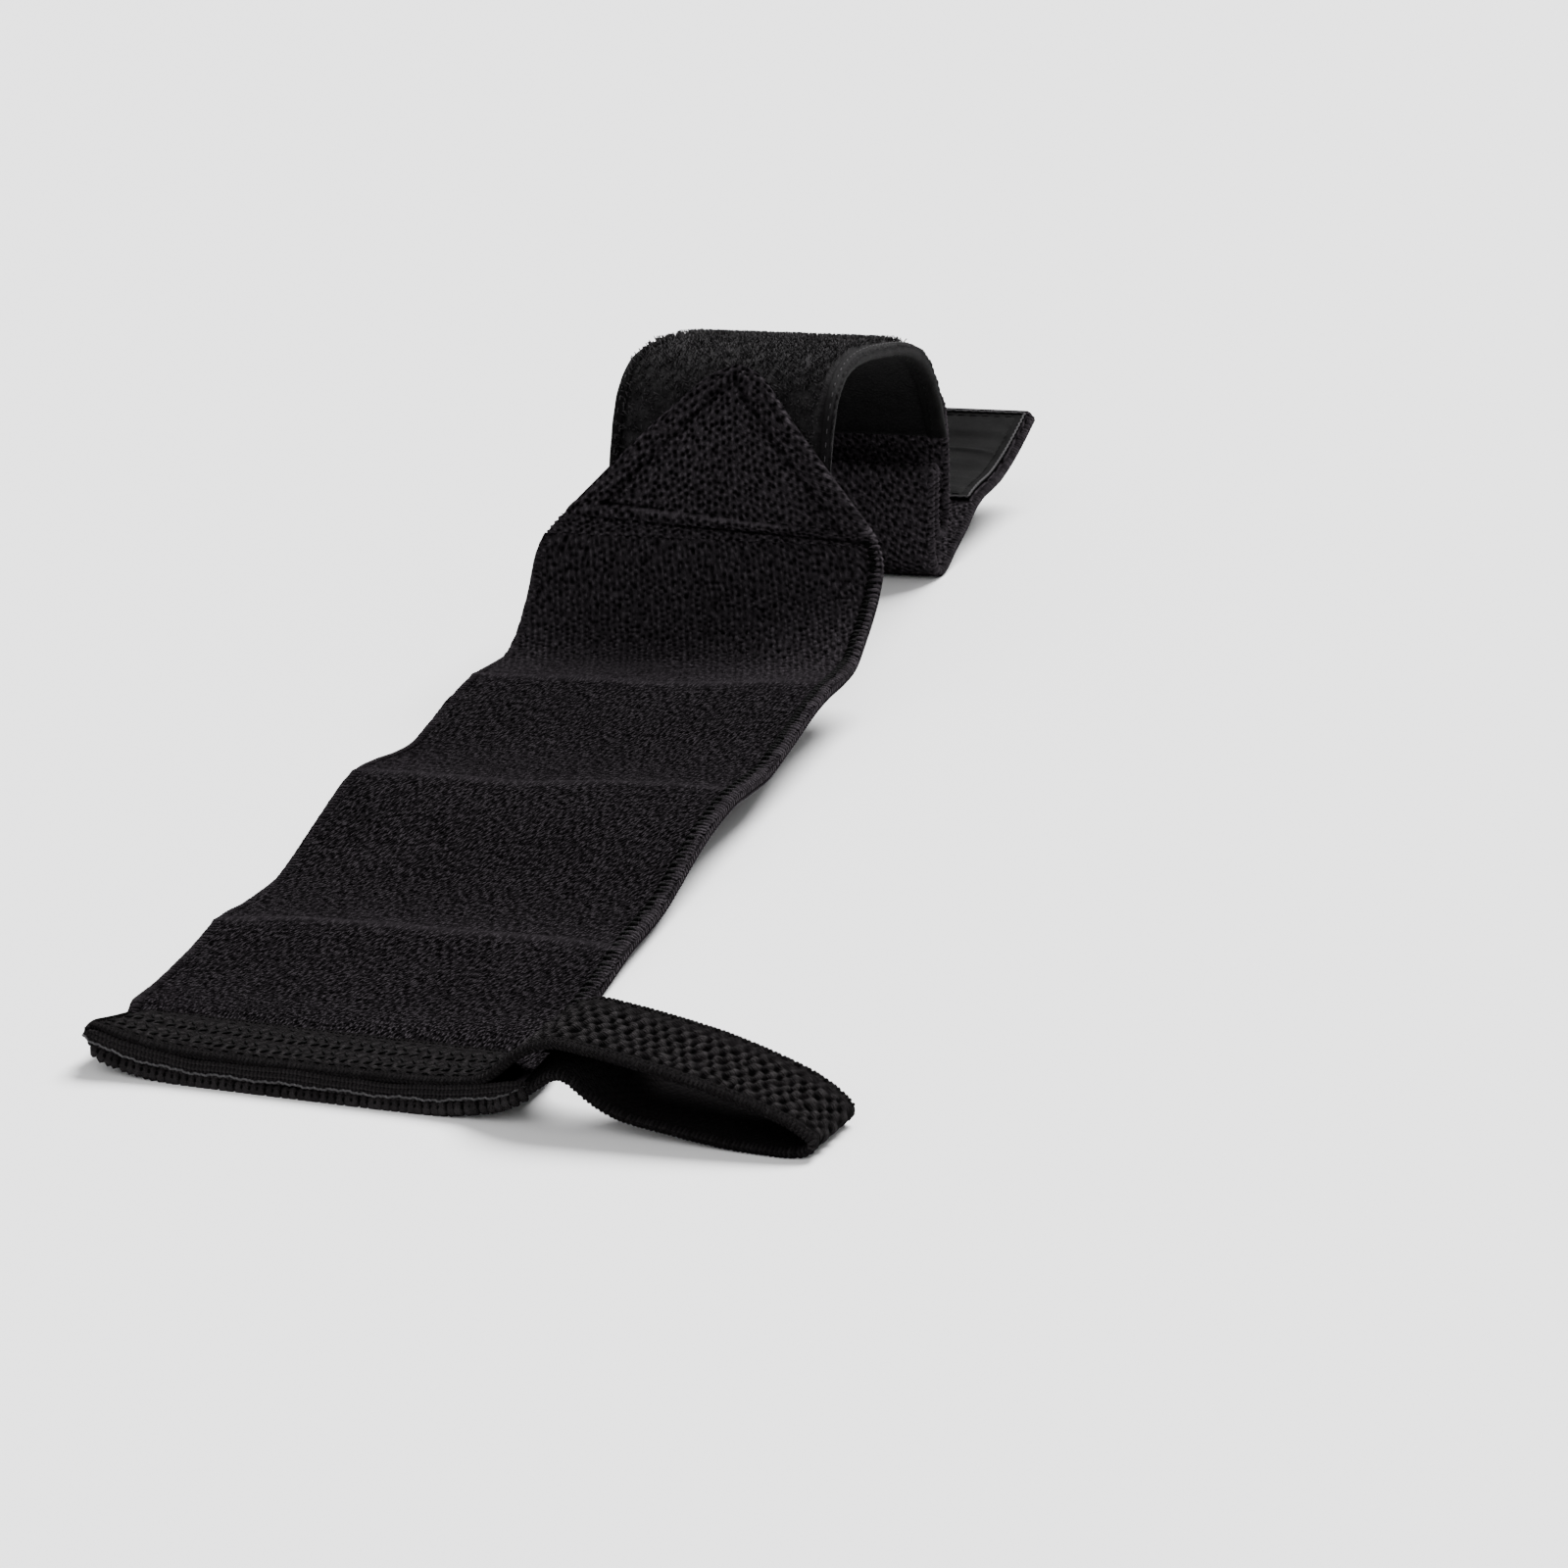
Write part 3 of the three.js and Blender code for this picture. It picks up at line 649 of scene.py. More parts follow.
    def colour(self, value, dark, light):
        """The base colour, dark where the value is 0 and light where it is 1."""
        ramp = self.node("ShaderNodeValToRGB")
        ramp.color_ramp.elements[0].color = (*dark, 1)
        ramp.color_ramp.elements[1].color = (*light, 1)
        self.links.new(value, ramp.inputs["Fac"])
        self.links.new(ramp.outputs["Color"], self.shader.inputs["Base Color"])

    def bump(self, height, millimetres):
        """Relief too fine for the mesh, this deep where the height is 1."""
        bump = self.node("ShaderNodeBump")
        bump.inputs["Strength"].default_value = 1.0
        bump.inputs["Distance"].default_value = millimetres * MM
        self.links.new(height, bump.inputs["Height"])
        self.links.new(bump.outputs["Normal"], self.shader.inputs["Normal"])

    def roughness(self, value, low, high):
        """Gloss that changes with the value."""
        self.links.new(self.ramp(value, 0, 1, low, high), self.shader.inputs["Roughness"])


print("two bands in each millimetre take a wave scale of", WAVE_SCALE)

# %% [markdown]
# ## The knit's finish
# The elastic is knitted. Near the thumb loop its face is fine: dark slanted pits and pale flecks, which
# are two turned cell patterns. Near the point the knots are coarse and modelled, and there the finish
# only takes the tone that the mesh gives. It has no specular, because at this low angle a reflection
# would hide the contrast of the yarns.
# %% Mix the knit
def knit_finish():
    """Fine pits and flecks, and the mesh's own tone where the attribute says coarse."""
    f = Finish("elastic_knit", 0.95, 0.0, 0.0)
    pits = f.ramp(f.cells(0.56, 2.3, -24, 0.95), 0.4, 0.87)
    flecks = f.cells(0.5, 1.8, -18, 0.95)
    fine = f.math("ADD", 0.34, f.math("MULTIPLY", flecks, 0.87))
    fine = f.math("MULTIPLY", fine, f.math("SUBTRACT", 1.0, f.math("MULTIPLY", pits, 0.98)))
    raised = f.attribute("raised")
    fibres = f.noise(0.28, 3)
    patches = f.noise(16, 2)
    worn = f.attribute("worn")
    coarse = f.attribute("coarse")
    strokes = f.mix(coarse, f.mix(0.2, fine, raised), raised)
    tone = f.math("MULTIPLY", f.math("POWER", strokes, 1.5), f.math("ADD", fibres, 0.4))
    tone = f.math("MULTIPLY", tone, f.mix(coarse, 0.65, 1.0))
    tone = f.math("MULTIPLY", tone, f.math("ADD", f.math("MULTIPLY", patches, 0.5), 0.85))
    tone = f.mix(f.math("MULTIPLY", worn, 0.6), tone, 0.3)
    height = f.math("ADD", strokes, f.math("MULTIPLY", fibres, 0.7))
    height = f.math("MULTIPLY", height, f.math("SUBTRACT", 1.0, f.math("MULTIPLY", worn, 0.7)))
    f.colour(tone, (0.0004, 0.00035, 0.0004), (0.046, 0.0404, 0.0455))
    f.bump(height, 0.8)
    return f.material


knit = knit_finish()
print("knit:", len(knit.node_tree.nodes), "nodes")

# %% [markdown]
# ## Webbing and thread
# The thumb loop's webbing has big soft nubs, which are modelled, so its finish adds only the yarns on
# them. The sewing threads are twisted, and fine slanted bands show the twist. One thread is near black,
# for hidden seams, and the same finish paints the shade in the gaps between yarns. Two are lighter,
# for the seams that show.
# %% Mix the webbing and the threads
def thread_finish(name, dark, light):
    """Twisted sewing thread: light strands with fine slanted bands."""
    f = Finish(name, 0.7, 0.0, 0.04)
    twist = f.bands(0.35, "DIAGONAL", 0.4)
    fibres = f.noise(0.25, 2)
    f.colour(f.math("MULTIPLY", f.math("ADD", twist, fibres), 0.5), dark, light)
    f.bump(twist, 0.08)
    return f.material


def webbing_finish():
    """Slanted yarns and loose fibres over the mesh's tone, which paints light on the nubs and shade
    between them.
    """
    f = Finish("loop_webbing", 0.95, 0.0, 0.004)
    yarns = f.cells(0.42, 1.3, 28, 0.5)
    fibres = f.noise(0.3, 3)
    raised = f.attribute("raised")
    tone = f.math("MULTIPLY", raised, f.math("ADD", f.math("MULTIPLY", yarns, 0.35), 0.65))
    tone = f.math("POWER", f.math("MULTIPLY", tone, f.math("ADD", fibres, 0.45)), 1.3)
    f.colour(tone, (0.0004, 0.00038, 0.0004), (0.037, 0.034, 0.0352))
    f.bump(f.math("ADD", yarns, fibres), 0.3)
    return f.material


webbing = webbing_finish()
dark_thread_and_gap_shade = thread_finish("dark_thread_and_gap_shade", (0.0004, 0.0004, 0.0004), (0.0016, 0.0015, 0.0016))
grey_thread = thread_finish("grey_thread", (0.035, 0.0335, 0.035), (0.1, 0.096, 0.1))
pale_thread = thread_finish("pale_thread", (0.045, 0.044, 0.046), (0.15, 0.147, 0.152))
print("webbing:", len(webbing.node_tree.nodes), "nodes, thread:", len(dark_thread_and_gap_shade.node_tree.nodes))

# %% [markdown]
# ## Pile and tape
# Brushed pile is the palest black on the wrap, soft and cloudy, with no weave of its own. The binding
# tape round its edges is smooth and dense, with fine ribs straight across it, so it looks darker.
# %% Mix the pile and the tape
def pile_finish():
    """Soft uneven fibres in cloudy patches."""
    f = Finish("loop_pile", 1.0, 0.01, 0.04)
    fibres = f.noise(0.7, 4)
    patches = f.ramp(f.noise(2.2, 3), 0.25, 0.75)
    tone = f.math("MULTIPLY", f.mix(0.4, fibres, patches), f.attribute("raised"))
    tone = f.math("MULTIPLY", tone, 1.75)
    f.colour(tone, (0.0005, 0.0005, 0.00053), (0.03, 0.0284, 0.0298))
    f.bump(fibres, 0.5)
    return f.material


def tape_finish():
    """Smooth folded tape with fine ribs straight across it."""
    f = Finish("binding_tape", 0.8, 0.0, 0.04)
    ribs = f.bands(0.55, "Y", 0.2)
    fibres = f.noise(0.4, 2)
    tone = f.math("MULTIPLY", f.mix(0.45, ribs, fibres), f.attribute("raised"))
    f.colour(tone, (0.0005, 0.00047, 0.0005), (0.0125, 0.0116, 0.0124))
    f.roughness(fibres, 0.65, 0.9)
    f.bump(ribs, 0.1)
    return f.material


pile = pile_finish()
tape = tape_finish()
print("pile:", len(pile.node_tree.nodes), "nodes, tape:", len(tape.node_tree.nodes))

# %% [markdown]
# ## Satin and hooks
# The label is woven satin, the smoothest cloth here, so a little gloss follows its wrinkles. Nothing is
# printed on it. The hooks under the tab are moulded nylon, a plain dark plastic with a slight gloss.
# %% Mix the satin and the hooks
def satin_finish():
    """Plain black satin: a very fine crossing weave and a soft gloss."""
    f = Finish("label_satin", 0.6, 0.0, 0.014)
    weave = f.math("MULTIPLY", f.bands(0.4, "Y", 0.3), f.bands(0.4, "X", 0.3))
    patches = f.noise(9, 2)
    tone = f.math("MULTIPLY", f.math("ADD", weave, patches), 0.6)
    f.colour(tone, (0.0003, 0.00027, 0.0003), (0.0018, 0.0016, 0.00175))
    f.roughness(patches, 0.5, 0.7)
    f.bump(weave, 0.06)
    return f.material


def hook_finish():
    """Moulded nylon with a slight grain."""
    f = Finish("hook_tape", 0.55, 0.0, 0.15)
    grain = f.noise(0.8, 2)
    f.colour(grain, (0.0015, 0.0015, 0.0016), (0.006, 0.006, 0.0063))
    f.roughness(grain, 0.4, 0.65)
    f.bump(grain, 0.08)
    return f.material


satin = satin_finish()
hook = hook_finish()
print("satin:", len(satin.node_tree.nodes), "nodes, hook tape:", len(hook.node_tree.nodes))

# %% [markdown]
# ## Where the knit changes
# The band's face is fine and brushed near the thumb loop and coarse near the point, and the change
# takes about 30 mm. Across the waves run pale worn creases, where the roll was folded hardest. Both are
# fields: a number for each place on the band, which shape and finish can share.
# %% Map the creases and the coarse knit
# distance from the hem, strength
CREASES = [(84.0, 0.55), (169.0, 0.6), (250.0, 0.8)]
COARSE_FROM, COARSE_TO = 240, 272


def bell(distance, width):
    """1 in the middle, and nearly 0 two widths away from it."""
    return np.exp(-((distance / width) ** 2))


def crease_field(d, x):
    """A narrow ridge at each crease, and the worn stretch just behind it."""
    ridge = np.zeros(np.broadcast(d, x).shape)
    worn = ridge.copy()
    for place, strength in CREASES:
        past = d - place - 2.2 * np.sin(x / 17 + place) - 0.9 * np.sin(x / 7 + 2 * place)
        ridge = ridge + strength * bell(past, 1.0)
        worn = worn + bell(past, 1.5) + 0.55 * strength * bell(past - 4, 5)
    return ridge, np.clip(worn, 0, 1)


def coarse_field(d, x):
    """0 where the knit is fine and 1 where it is coarse, along a wavy border."""
    return smoothstep(d + 4 * np.sin(x / 11), COARSE_FROM, COARSE_TO)


print("creases at", ", ".join(f"{place:.0f}" for place, _ in CREASES), "mm from the hem")

# %% [markdown]
# ## Knots and pits
# Coarse knit shows rows of thread knots with a pit beside each. They could be a bump pattern, but
# they would vanish in the outline, so they are heights in the mesh. The tone also paints shade into
# each pit and a highlight onto each knot. The grid is turned, because the stretched knit leans, and
# each pit is nudged from its place, as hand-fed yarn does.
# %% Knot the coarse knit
KNIT_TURN = math.radians(38)
KNOT_TABLE = (97, 89)


def knots(x, d, wide, long):
    """For every point, how far its nearest pit is in shares of the spacing, and that pit's tone."""
    nudge = rng.uniform(-0.3, 0.3, (*KNOT_TABLE, 2))
    lightness = rng.uniform(0.7, 1.2, KNOT_TABLE)
    u = (x * math.cos(KNIT_TURN) + d * math.sin(KNIT_TURN)) / wide
    v = (d * math.cos(KNIT_TURN) - x * math.sin(KNIT_TURN)) / long
    nearest, own = np.full(u.shape, 9.0), np.zeros(u.shape)
    for row_step in (-1, 0, 1):
        row = np.floor(v).astype(int) + row_step
        shift = 0.5 * (row % 2)
        for column_step in (-1, 0, 1):
            column = np.floor(u - shift).astype(int) + column_step
            key = (row % KNOT_TABLE[0], column % KNOT_TABLE[1])
            across = u - (column + shift + 0.5 + nudge[key + (0,)])
            along = v - (row + 0.5 + nudge[key + (1,)])
            distance = np.hypot(across, along)
            own = np.where(distance < nearest, lightness[key], own)
            nearest = np.minimum(nearest, distance)
    return nearest, own


def knot_relief(x, d, wide, long):
    """Height from about -1 in the knit's pits to 1 on its knots, and a tone with painted shade in the
    pits and a painted highlight on the knots.
    """
    pit, own = knots(x, d, wide, long)
    knot, shine = knots(x + 0.5 * wide, d, wide, long)
    low = 1 - smoothstep(pit, 0.1, 0.5)
    high = 1 - smoothstep(knot, 0.0, 0.42)
    loose = rng.uniform(0.8, 1.15, own.shape)
    # Painted shade in each pit and a painted highlight on each knot, with a random lightness for each.
    tone = loose * np.clip(0.44 - 0.42 * low * own + 0.6 * high * shine, 0.02, 1.2)
    return 0.5 * high + 0.2 - 1.1 * low, tone


def edge_roll(x, width, reach, height):
    """How far the face drops towards an edge: 0 inside reach, and height at the very edge."""
    inside = width - np.abs(x)
    return height * np.clip(1 - inside / reach, 0, 1) ** 2


print(f"the knit's rows lean {math.degrees(KNIT_TURN):.0f} degrees")

# %% [markdown]
# ## The elastic band
# The band is one long strip, 2.8 mm thick. Its face has enough columns of points for a knot every
# 1.5 mm, while its underside lies on the floor and needs few. Seams and ribs get their own pieces.
# %% Knit the band
BAND_COLUMNS = 191
BAND_KNOT = (1.45, 1.6)
KNOT_HEIGHT = 0.28
FINE_ROUGHNESS = 0.07
RIB_ZONE = 1.75


def make_band():
    """The band from the hem to the point's foot."""
    d = np.concatenate([np.arange(0, 236, 0.75), np.linspace(236, point_foot, 90)])[:, None]
    rows = len(d)
    x = np.linspace(half, -half, BAND_COLUMNS)[None, :] * half_width(d)
    height, tone = knot_relief(x, d, *BAND_KNOT)
    coarse = coarse_field(d, x)
    ridge, worn = crease_field(d, x)
    loose = rng.uniform(-1, 1, (rows, BAND_COLUMNS))
    raised = coarse * height * KNOT_HEIGHT + (1 - coarse) * loose * FINE_ROUGHNESS
    top = band_thickness(d) + raised * (1 - 0.75 * worn) + 0.5 * ridge - edge_roll(x, half, 1.4, 0.5)
    top = top + value_noise(rows, BAND_COLUMNS, 14, 26, 0.2)
    top = top + value_noise(rows, BAND_COLUMNS, 4, 8, 0.08)
    past_strap = smoothstep(d, 18, 22)
    top = band_thickness(d) * (1 - past_strap) + top * past_strap
    # Painted shade: a dark strip on the face just inside the right edge's ribs, where they meet the knit.
    shade_beside_ribs = bell(half * half_width(d) - x - RIB_ZONE, 0.6) * past_strap
    tone = 1.1 * coarse * tone + (1 - coarse) * np.clip(0.5 + 0.5 * loose, 0, 1)
    low_columns = 13
    x_low = np.linspace(-half, half, low_columns)[None, :] * half_width(d)
    bottom = edge_roll(x_low, half, 1.6, 0.7) + np.zeros((rows, 1))
    points = np.concatenate([on_band(d, x, top), on_band(d, x_low, bottom)], axis=1)
    under = np.zeros((rows, low_columns))
    values = {
        "coarse": np.concatenate([np.maximum(coarse, shade_beside_ribs), under + 1], axis=1),
        "worn": np.concatenate([worn, under], axis=1),
        "raised": np.concatenate([tone * (1 - 0.95 * shade_beside_ribs), under + 0.5], axis=1),
    }
    return sweep("band_knit", points, d[:, 0], knit, ["elastic_band"], values)


band_knit = make_band()

# %% [markdown]
# ## The folded point
# The band's end is folded to a point and sewn down. Its turned-in corners show on the face as two
# raised borders along the sloping edges, and a stitched welt crosses the foot of the point.
# %% Fold the point
SLOPE_STRETCH = math.hypot(1, POINT_SLOPE * half)
SEAM_FROM_EDGE = 5.6
POINT_KNOT = (1.5, 1.55)
POINT_KNOT_HEIGHT = 0.24


def past_welt(d, x):
    """How far a place lies past the welt's middle, which runs a little askew."""
    return d - welt_place + x * math.tan(WELT_SKEW)


def point_relief(d, x):
    """The welt, the borders along the folded edges and the grooves beside them."""
    past = past_welt(d, x)
    welt = WELT_HEIGHT * 0.8 * np.clip(1 - (past / 1.3) ** 4, 0, 1)
    fade_far = 0.9 - 0.6 * smoothstep(x, -24, -4)
    fade_near = 0.45 + 0.5 * smoothstep(x, -22, 0)
    stitched = 0.55 * np.where(past > 0, fade_far, fade_near) * bell(np.abs(past) - 1.6, 0.4)
    inside = (half * half_width(d) - np.abs(x)) / SLOPE_STRETCH
    folded = smoothstep(d, point_foot + 1, point_foot + 9)
    border = 0.55 * smoothstep(inside, 0, 1.5) * (1 - smoothstep(inside, 4.0, 5.2))
    groove = 0.4 * bell(inside - 5.5, 0.75) + 0.2 * bell(inside - 2.3, 0.4)
    return welt - stitched + folded * (border - groove)


def make_point():
    """The doubled point, on from the band's last row."""
    rows = 100
    d = np.linspace(point_foot, band_length, rows)[:, None]
    x = np.linspace(1, -1, BAND_COLUMNS)[None, :] * half * half_width(d)
    nubs, tone = knot_relief(x, d, *POINT_KNOT)
    # Painted light: the point's tone is raised by a fifth, to make up for its face turning away from the
    # lamps.
    tone = tone * 1.2
    sewn = point_relief(d, x)
    top = BAND_THICKNESS + POINT_KNOT_HEIGHT * nubs + sewn
    top = top + value_noise(rows, BAND_COLUMNS, 9, 9, 0.12)
    top = top - edge_roll(x, half * half_width(d), 1.5, 0.9)
    low_columns = 31
    x_low = np.linspace(-1, 1, low_columns)[None, :] * half * half_width(d)
    folded = smoothstep(d, point_foot, point_foot + WELT_FROM_FOOT)
    bottom = -CORNER_THICKNESS * folded + edge_roll(x_low, half * half_width(d), 1.5, 0.7)
    points = np.concatenate([on_band(d, x, top), on_band(d, x_low, bottom)], axis=1)
    across = np.concatenate([half - x, x_low + 3 * half], axis=1)
    # Painted shade darkens the welt's stitched dips and the grooves beside the folded borders, and a
    # painted highlight runs along the welt's far slope.
    tone = tone * np.clip(1 + np.minimum(sewn, 0), 0.2, 1)
    lit = smoothstep(x, -26, -18) * (1 - smoothstep(x, 12, 24))
    tone = tone + 0.45 * bell(past_welt(d, x) - 1.1, 0.3) * lit
    values = {
        "coarse": np.ones(points.shape[:2]),
        "raised": np.concatenate([tone, np.full((rows, low_columns), 0.5)], axis=1),
    }
    return sweep("band_point", points, d[:, 0], knit, ["elastic_band"], values, across)


band_point = make_point()

# %% [markdown]
# ## The overcast edges
# Both long edges of the band are overcast: thread is wound round the edge in short tight turns, which
# stand out as ribs. Each rib is a low bent tube over the edge, and all of them are one mesh. On the right
# edge's inner side, where the thread goes down into the knit, painted shade marks the gaps as short dark
# tubes.
# %% Wind the edge ribs
def edge_ribs(
    name, start, end, pitch, place_rib, radius, points, material, sides=(-1, 1), light=0.8
):
    """Ribs from start to end at this pitch. place_rib(d, side, t) says where, for t from 0 to 1."""
    count = int((end - start) / pitch)
    t = np.linspace(0, 1, points)
    paths = []
    for side in sides:
        d = start + (np.arange(count) + 0.5) * pitch + rng.uniform(-0.15, 0.15, count) * pitch
        paths.append(place_rib(d[:, None], side, t[None, :]))
    swell = radius * (0.5 + 0.5 * np.sin(np.pi * np.clip(t * 0.9 + 0.05, 0, 1)) ** 0.5)
    # Painted light: each rib is drawn lighter over the edge, where it stands highest, and darker at both
    # ends, where it sinks into the cloth.
    tone = light * (0.7 + 0.3 * np.sin(np.pi * t)) * rng.uniform(0.75, 1.15, (count * len(sides), 1))
    return tubes(name, np.concatenate(paths), swell, 5, material, tone)


def band_rib(d, side, t):
    """From the face over the edge to the underside, slanting a little along the band."""
    width = half * half_width(d)
    angle = -0.15 * np.pi + t * 1.15 * np.pi
    x = side * (width - 1.5 + 1.25 * np.sin(np.clip(angle, 0, np.pi)) + np.minimum(angle, 0) * 2.2)
    middle = band_thickness(d) / 2
    height = middle + (middle - 0.05) * np.cos(np.clip(angle, 0, np.pi))
    return on_band(d + 0.9 * t, x, height)


ribs_end = point_foot + 5
edge_ribs("band_ribs_left", 1.0, ribs_end, 1.3, band_rib, 0.4, 8, knit, (-1,), 0.7)
edge_ribs("band_ribs_right", 1.0, ribs_end, 1.45, band_rib, 0.5, 8, knit, (1,), 0.95)


def edge_gaps():
    """Painted shade: dark dashes in the gaps beside the right edge's ribs, twice as close where the knit
    is coarse.
    """
    d = np.concatenate([np.arange(24, 205, 3.2), np.arange(205, point_foot + 2, 1.6)])[:, None]
    d = d + rng.uniform(-0.35, 0.35, d.shape)
    t = np.linspace(0, 1, 5)[None, :]
    x = half * half_width(d) - 3.2 + 2.0 * t
    line = on_band(d + 0.7 * t, x, BAND_THICKNESS + 0.05 + 0.12 * np.sin(np.pi * t))
    radii = np.array([0.14, 0.5, 0.62, 0.5, 0.14])
    tubes("band_edge_gap_shade", line, radii, 6, dark_thread_and_gap_shade)


edge_gaps()

# %% [markdown]
# ## The thumb loop's route
# One strap of webbing is sewn over the hem, runs out past the right edge, turns back and is sewn under
# the hem. Its route is one smooth line in the front view, and each step of it also knows how far the
# strap tilts there and which of its two layers it is.
# %% Route the strap
def strap_route():
    """The strap's middle line and, at each step, its tilt, its layer and how far it is sewn down."""
    rest = STRAP_THICKNESS / 2
    upper = BAND_FOLDS[0][1] * FOLD_HEIGHT + HEM_THICKNESS + 1.7 * GAP + rest
    free = lambda out, rise, tilt, layer: (
        half + out * LOOP_REACH, rest + rise * (LOOP_HEIGHT - STRAP_THICKNESS), tilt, layer, 0
    )
    on_hem = lambda share, layer, sewn=1: (
        share * half, (rest if layer else upper) + front_lift(share * half), 0, layer, sewn
    )
    left_end = STRAP_INSET / half - 1
    shares = [left_end, *[s for s in HEM_LIFTS[1:-2, 0] if s > left_end]]
    rows = [on_hem(s, 0) for s in shares[:-1]]
    rows += [free(*row, 0.5) for row in LOOP_OUT]
    rows += [free(*row, 1) for row in LOOP_BACK]
    rows += [on_hem(HEM_LIFTS[-1, 0], 1, 0.3), on_hem(HEM_LIFTS[-2, 0], 1, 0.8)]
    rows += [on_hem(s, 1) for s in shares[::-1]]
    rows = np.array(rows)
    line = smooth(rows[:, :2])
    place = np.linspace(0, len(rows) - 1, len(line))
    return np.column_stack([line, between(place, np.arange(len(rows)), rows[:, 2:])])


route = strap_route()
route_distance = lengths(route[:, :2])
route_slope = unit(np.gradient(route[:, :2], axis=0))
strap_length = route_distance[-1]


def on_strap(s, a, height):
    """Points on the strap: s along it, a from -1 at its near edge to 1, height over its middle."""
    s, a, height = np.broadcast_arrays(s, a, height)
    x, z, tilt, layer, sewn = np.moveaxis(between(s, route_distance, route), -1, 0)
    tx, tz = np.moveaxis(between(s, route_distance, route_slope), -1, 0)
    sine, cosine = math.sin(HEM_SKEW), math.cos(HEM_SKEW)
    along = unit(np.stack([tx * cosine, -tx * sine, tz], axis=-1))
    rise = tilt * LOOP_FAR_EDGE_RISE / STRAP_WIDTH
    across = unit(np.stack([sine + 0 * rise, cosine + 0 * rise, rise], axis=-1))
    out = unit(np.cross(along, across))
    width = STRAP_WIDTH + tilt * LOOP_SPREAD
    near = HEM_START - HEM_SETBACK - x * math.tan(HEM_SKEW) - layer * LOWER_STRAP_FORWARD
    near_end = np.clip(1 - np.minimum(s, strap_length - s) / 5, 0, 1) ** 2
    corner = 1 - 0.3 * near_end
    p = np.stack([x, near, z], axis=-1) + across * ((1 + a * corner) * width / 2)[..., None]
    p = p + out * height[..., None]
    lower = np.clip(layer * 2 - 1, 0, 1)
    near_rise = 3.6 * np.exp(-(((x - 50) / 5.5) ** 2)) * (1 - a) / 2
    far_rise = 8.0 * smoothstep(x, 39, 45) * (1 - smoothstep(x, 53, 64)) * (1 + a) / 2
    p[..., 2] += lower * (near_rise + far_rise)
    p[..., 2] += (2 * lower - 1) * 1.2 * near_end
    p[..., 2] += sewn * (hem_lift(p[..., 0], p[..., 1]) - front_lift(x))
    p[..., 2] = np.maximum(p[..., 2], 0)
    return p


print(f"thumb loop: {strap_length:.0f} mm of {STRAP_WIDTH:.0f} mm webbing")

# %% [markdown]
# ## The webbing
# The free loop shows rows of big soft nubs. Where the strap is sewn down it is stretched flat, and the
# same yarns read as a braid that leans left and right in turn. Both are heights in the strap's own
# grid, blended where the loop leaves the hem. The tone paints light on the nubs and yarns and shade
# between them and in the groove by the near edge, and small dark tubes paint the shade in the braid's
# gaps.
# %% Weave the strap
STRAP_HALF = STRAP_WIDTH / 2
STRAP_STEP = 0.33
NUB_WIDTH, NUB_LENGTH = 2.2, 2.5
BRAID_ROW, BRAID_STROKE = 3.4, 2.1
EDGE_GROOVE = 7.4


def braid(v, s):
    """Rows of slanted yarns that lean left and right in turn, as on a braided tape."""
    row = np.floor(v / BRAID_ROW)
    lean = np.where(row % 2 == 0, 1.0, -1.0)
    across = (v / BRAID_ROW - row) * 2 - 1
    stroke = np.cos(2 * np.pi * (s / BRAID_STROKE + 0.36 * lean * across))
    return 0.5 * stroke * (1 - across**4) + 0.25 - 0.4 * across**6


def make_strap():
    """The strap, face and back, along its whole route."""
    rows = int(strap_length / STRAP_STEP) + 1
    columns = 51
    s = np.linspace(0, strap_length, rows)[:, None]
    a = np.linspace(1, -1, columns)[None, :]
    v = a * STRAP_HALF
    inner = (1 - smoothstep(-v, 7.0, 7.7)) * (1 - 0.7 * smoothstep(v, 5.0, 7.2))
    free = smoothstep(s, 64, 84) * (1 - smoothstep(s, 200, 215))
    moved_v = v + value_noise(rows, columns, 8, 7, 0.5)
    moved_s = s + value_noise(rows, columns, 7, 7, 0.65)
    cell = np.cos(np.pi * moved_v / NUB_WIDTH) * np.cos(2 * np.pi * moved_s / NUB_LENGTH)
    nubs = np.abs(cell) ** 0.7 * np.sign(cell) * (0.8 + value_noise(rows, columns, 3, 5, 0.35))
    woven = braid(moved_v, moved_s) * (0.7 + value_noise(rows, columns, 3, 5, 0.5))
    relief = nubs * free + woven * (1 - free)
    edge = 0.04 * np.cos(2 * np.pi * s / 1.0) * (1 - inner)
    groove = bell(v + EDGE_GROOVE, 0.4)
    height = STRAP_THICKNESS / 2 + inner * (0.2 + 0.2 * free) * (relief - 0.3) + edge
    height = height - 0.18 * groove
    height = height + value_noise(rows, columns, 9, 7, 0.08)
    roll = edge_roll(v, STRAP_HALF, 1.0, 0.55)
    height = height - roll
    low = -STRAP_THICKNESS / 2 + roll
    low = low + value_noise(rows, columns, 5, 4, 0.08)
    points = np.concatenate([on_strap(s, a, height), on_strap(s, -a, low)], axis=1)
    # Painted light: lighter on the nubs and the braid's yarns, darker between them, and painted shade in
    # the groove by the near edge.
    tone = 0.02 + 0.9 * np.clip(0.42 + 0.62 * inner * relief, 0, 1)
    tone = tone * (1 - 0.4 * groove)
    values = {"raised": np.concatenate([tone, np.full((rows, columns), 0.3)], axis=1)}
    return sweep("loop_strap", points, s[:, 0], webbing, ["thumb_loop"], values)


loop_strap = make_strap()


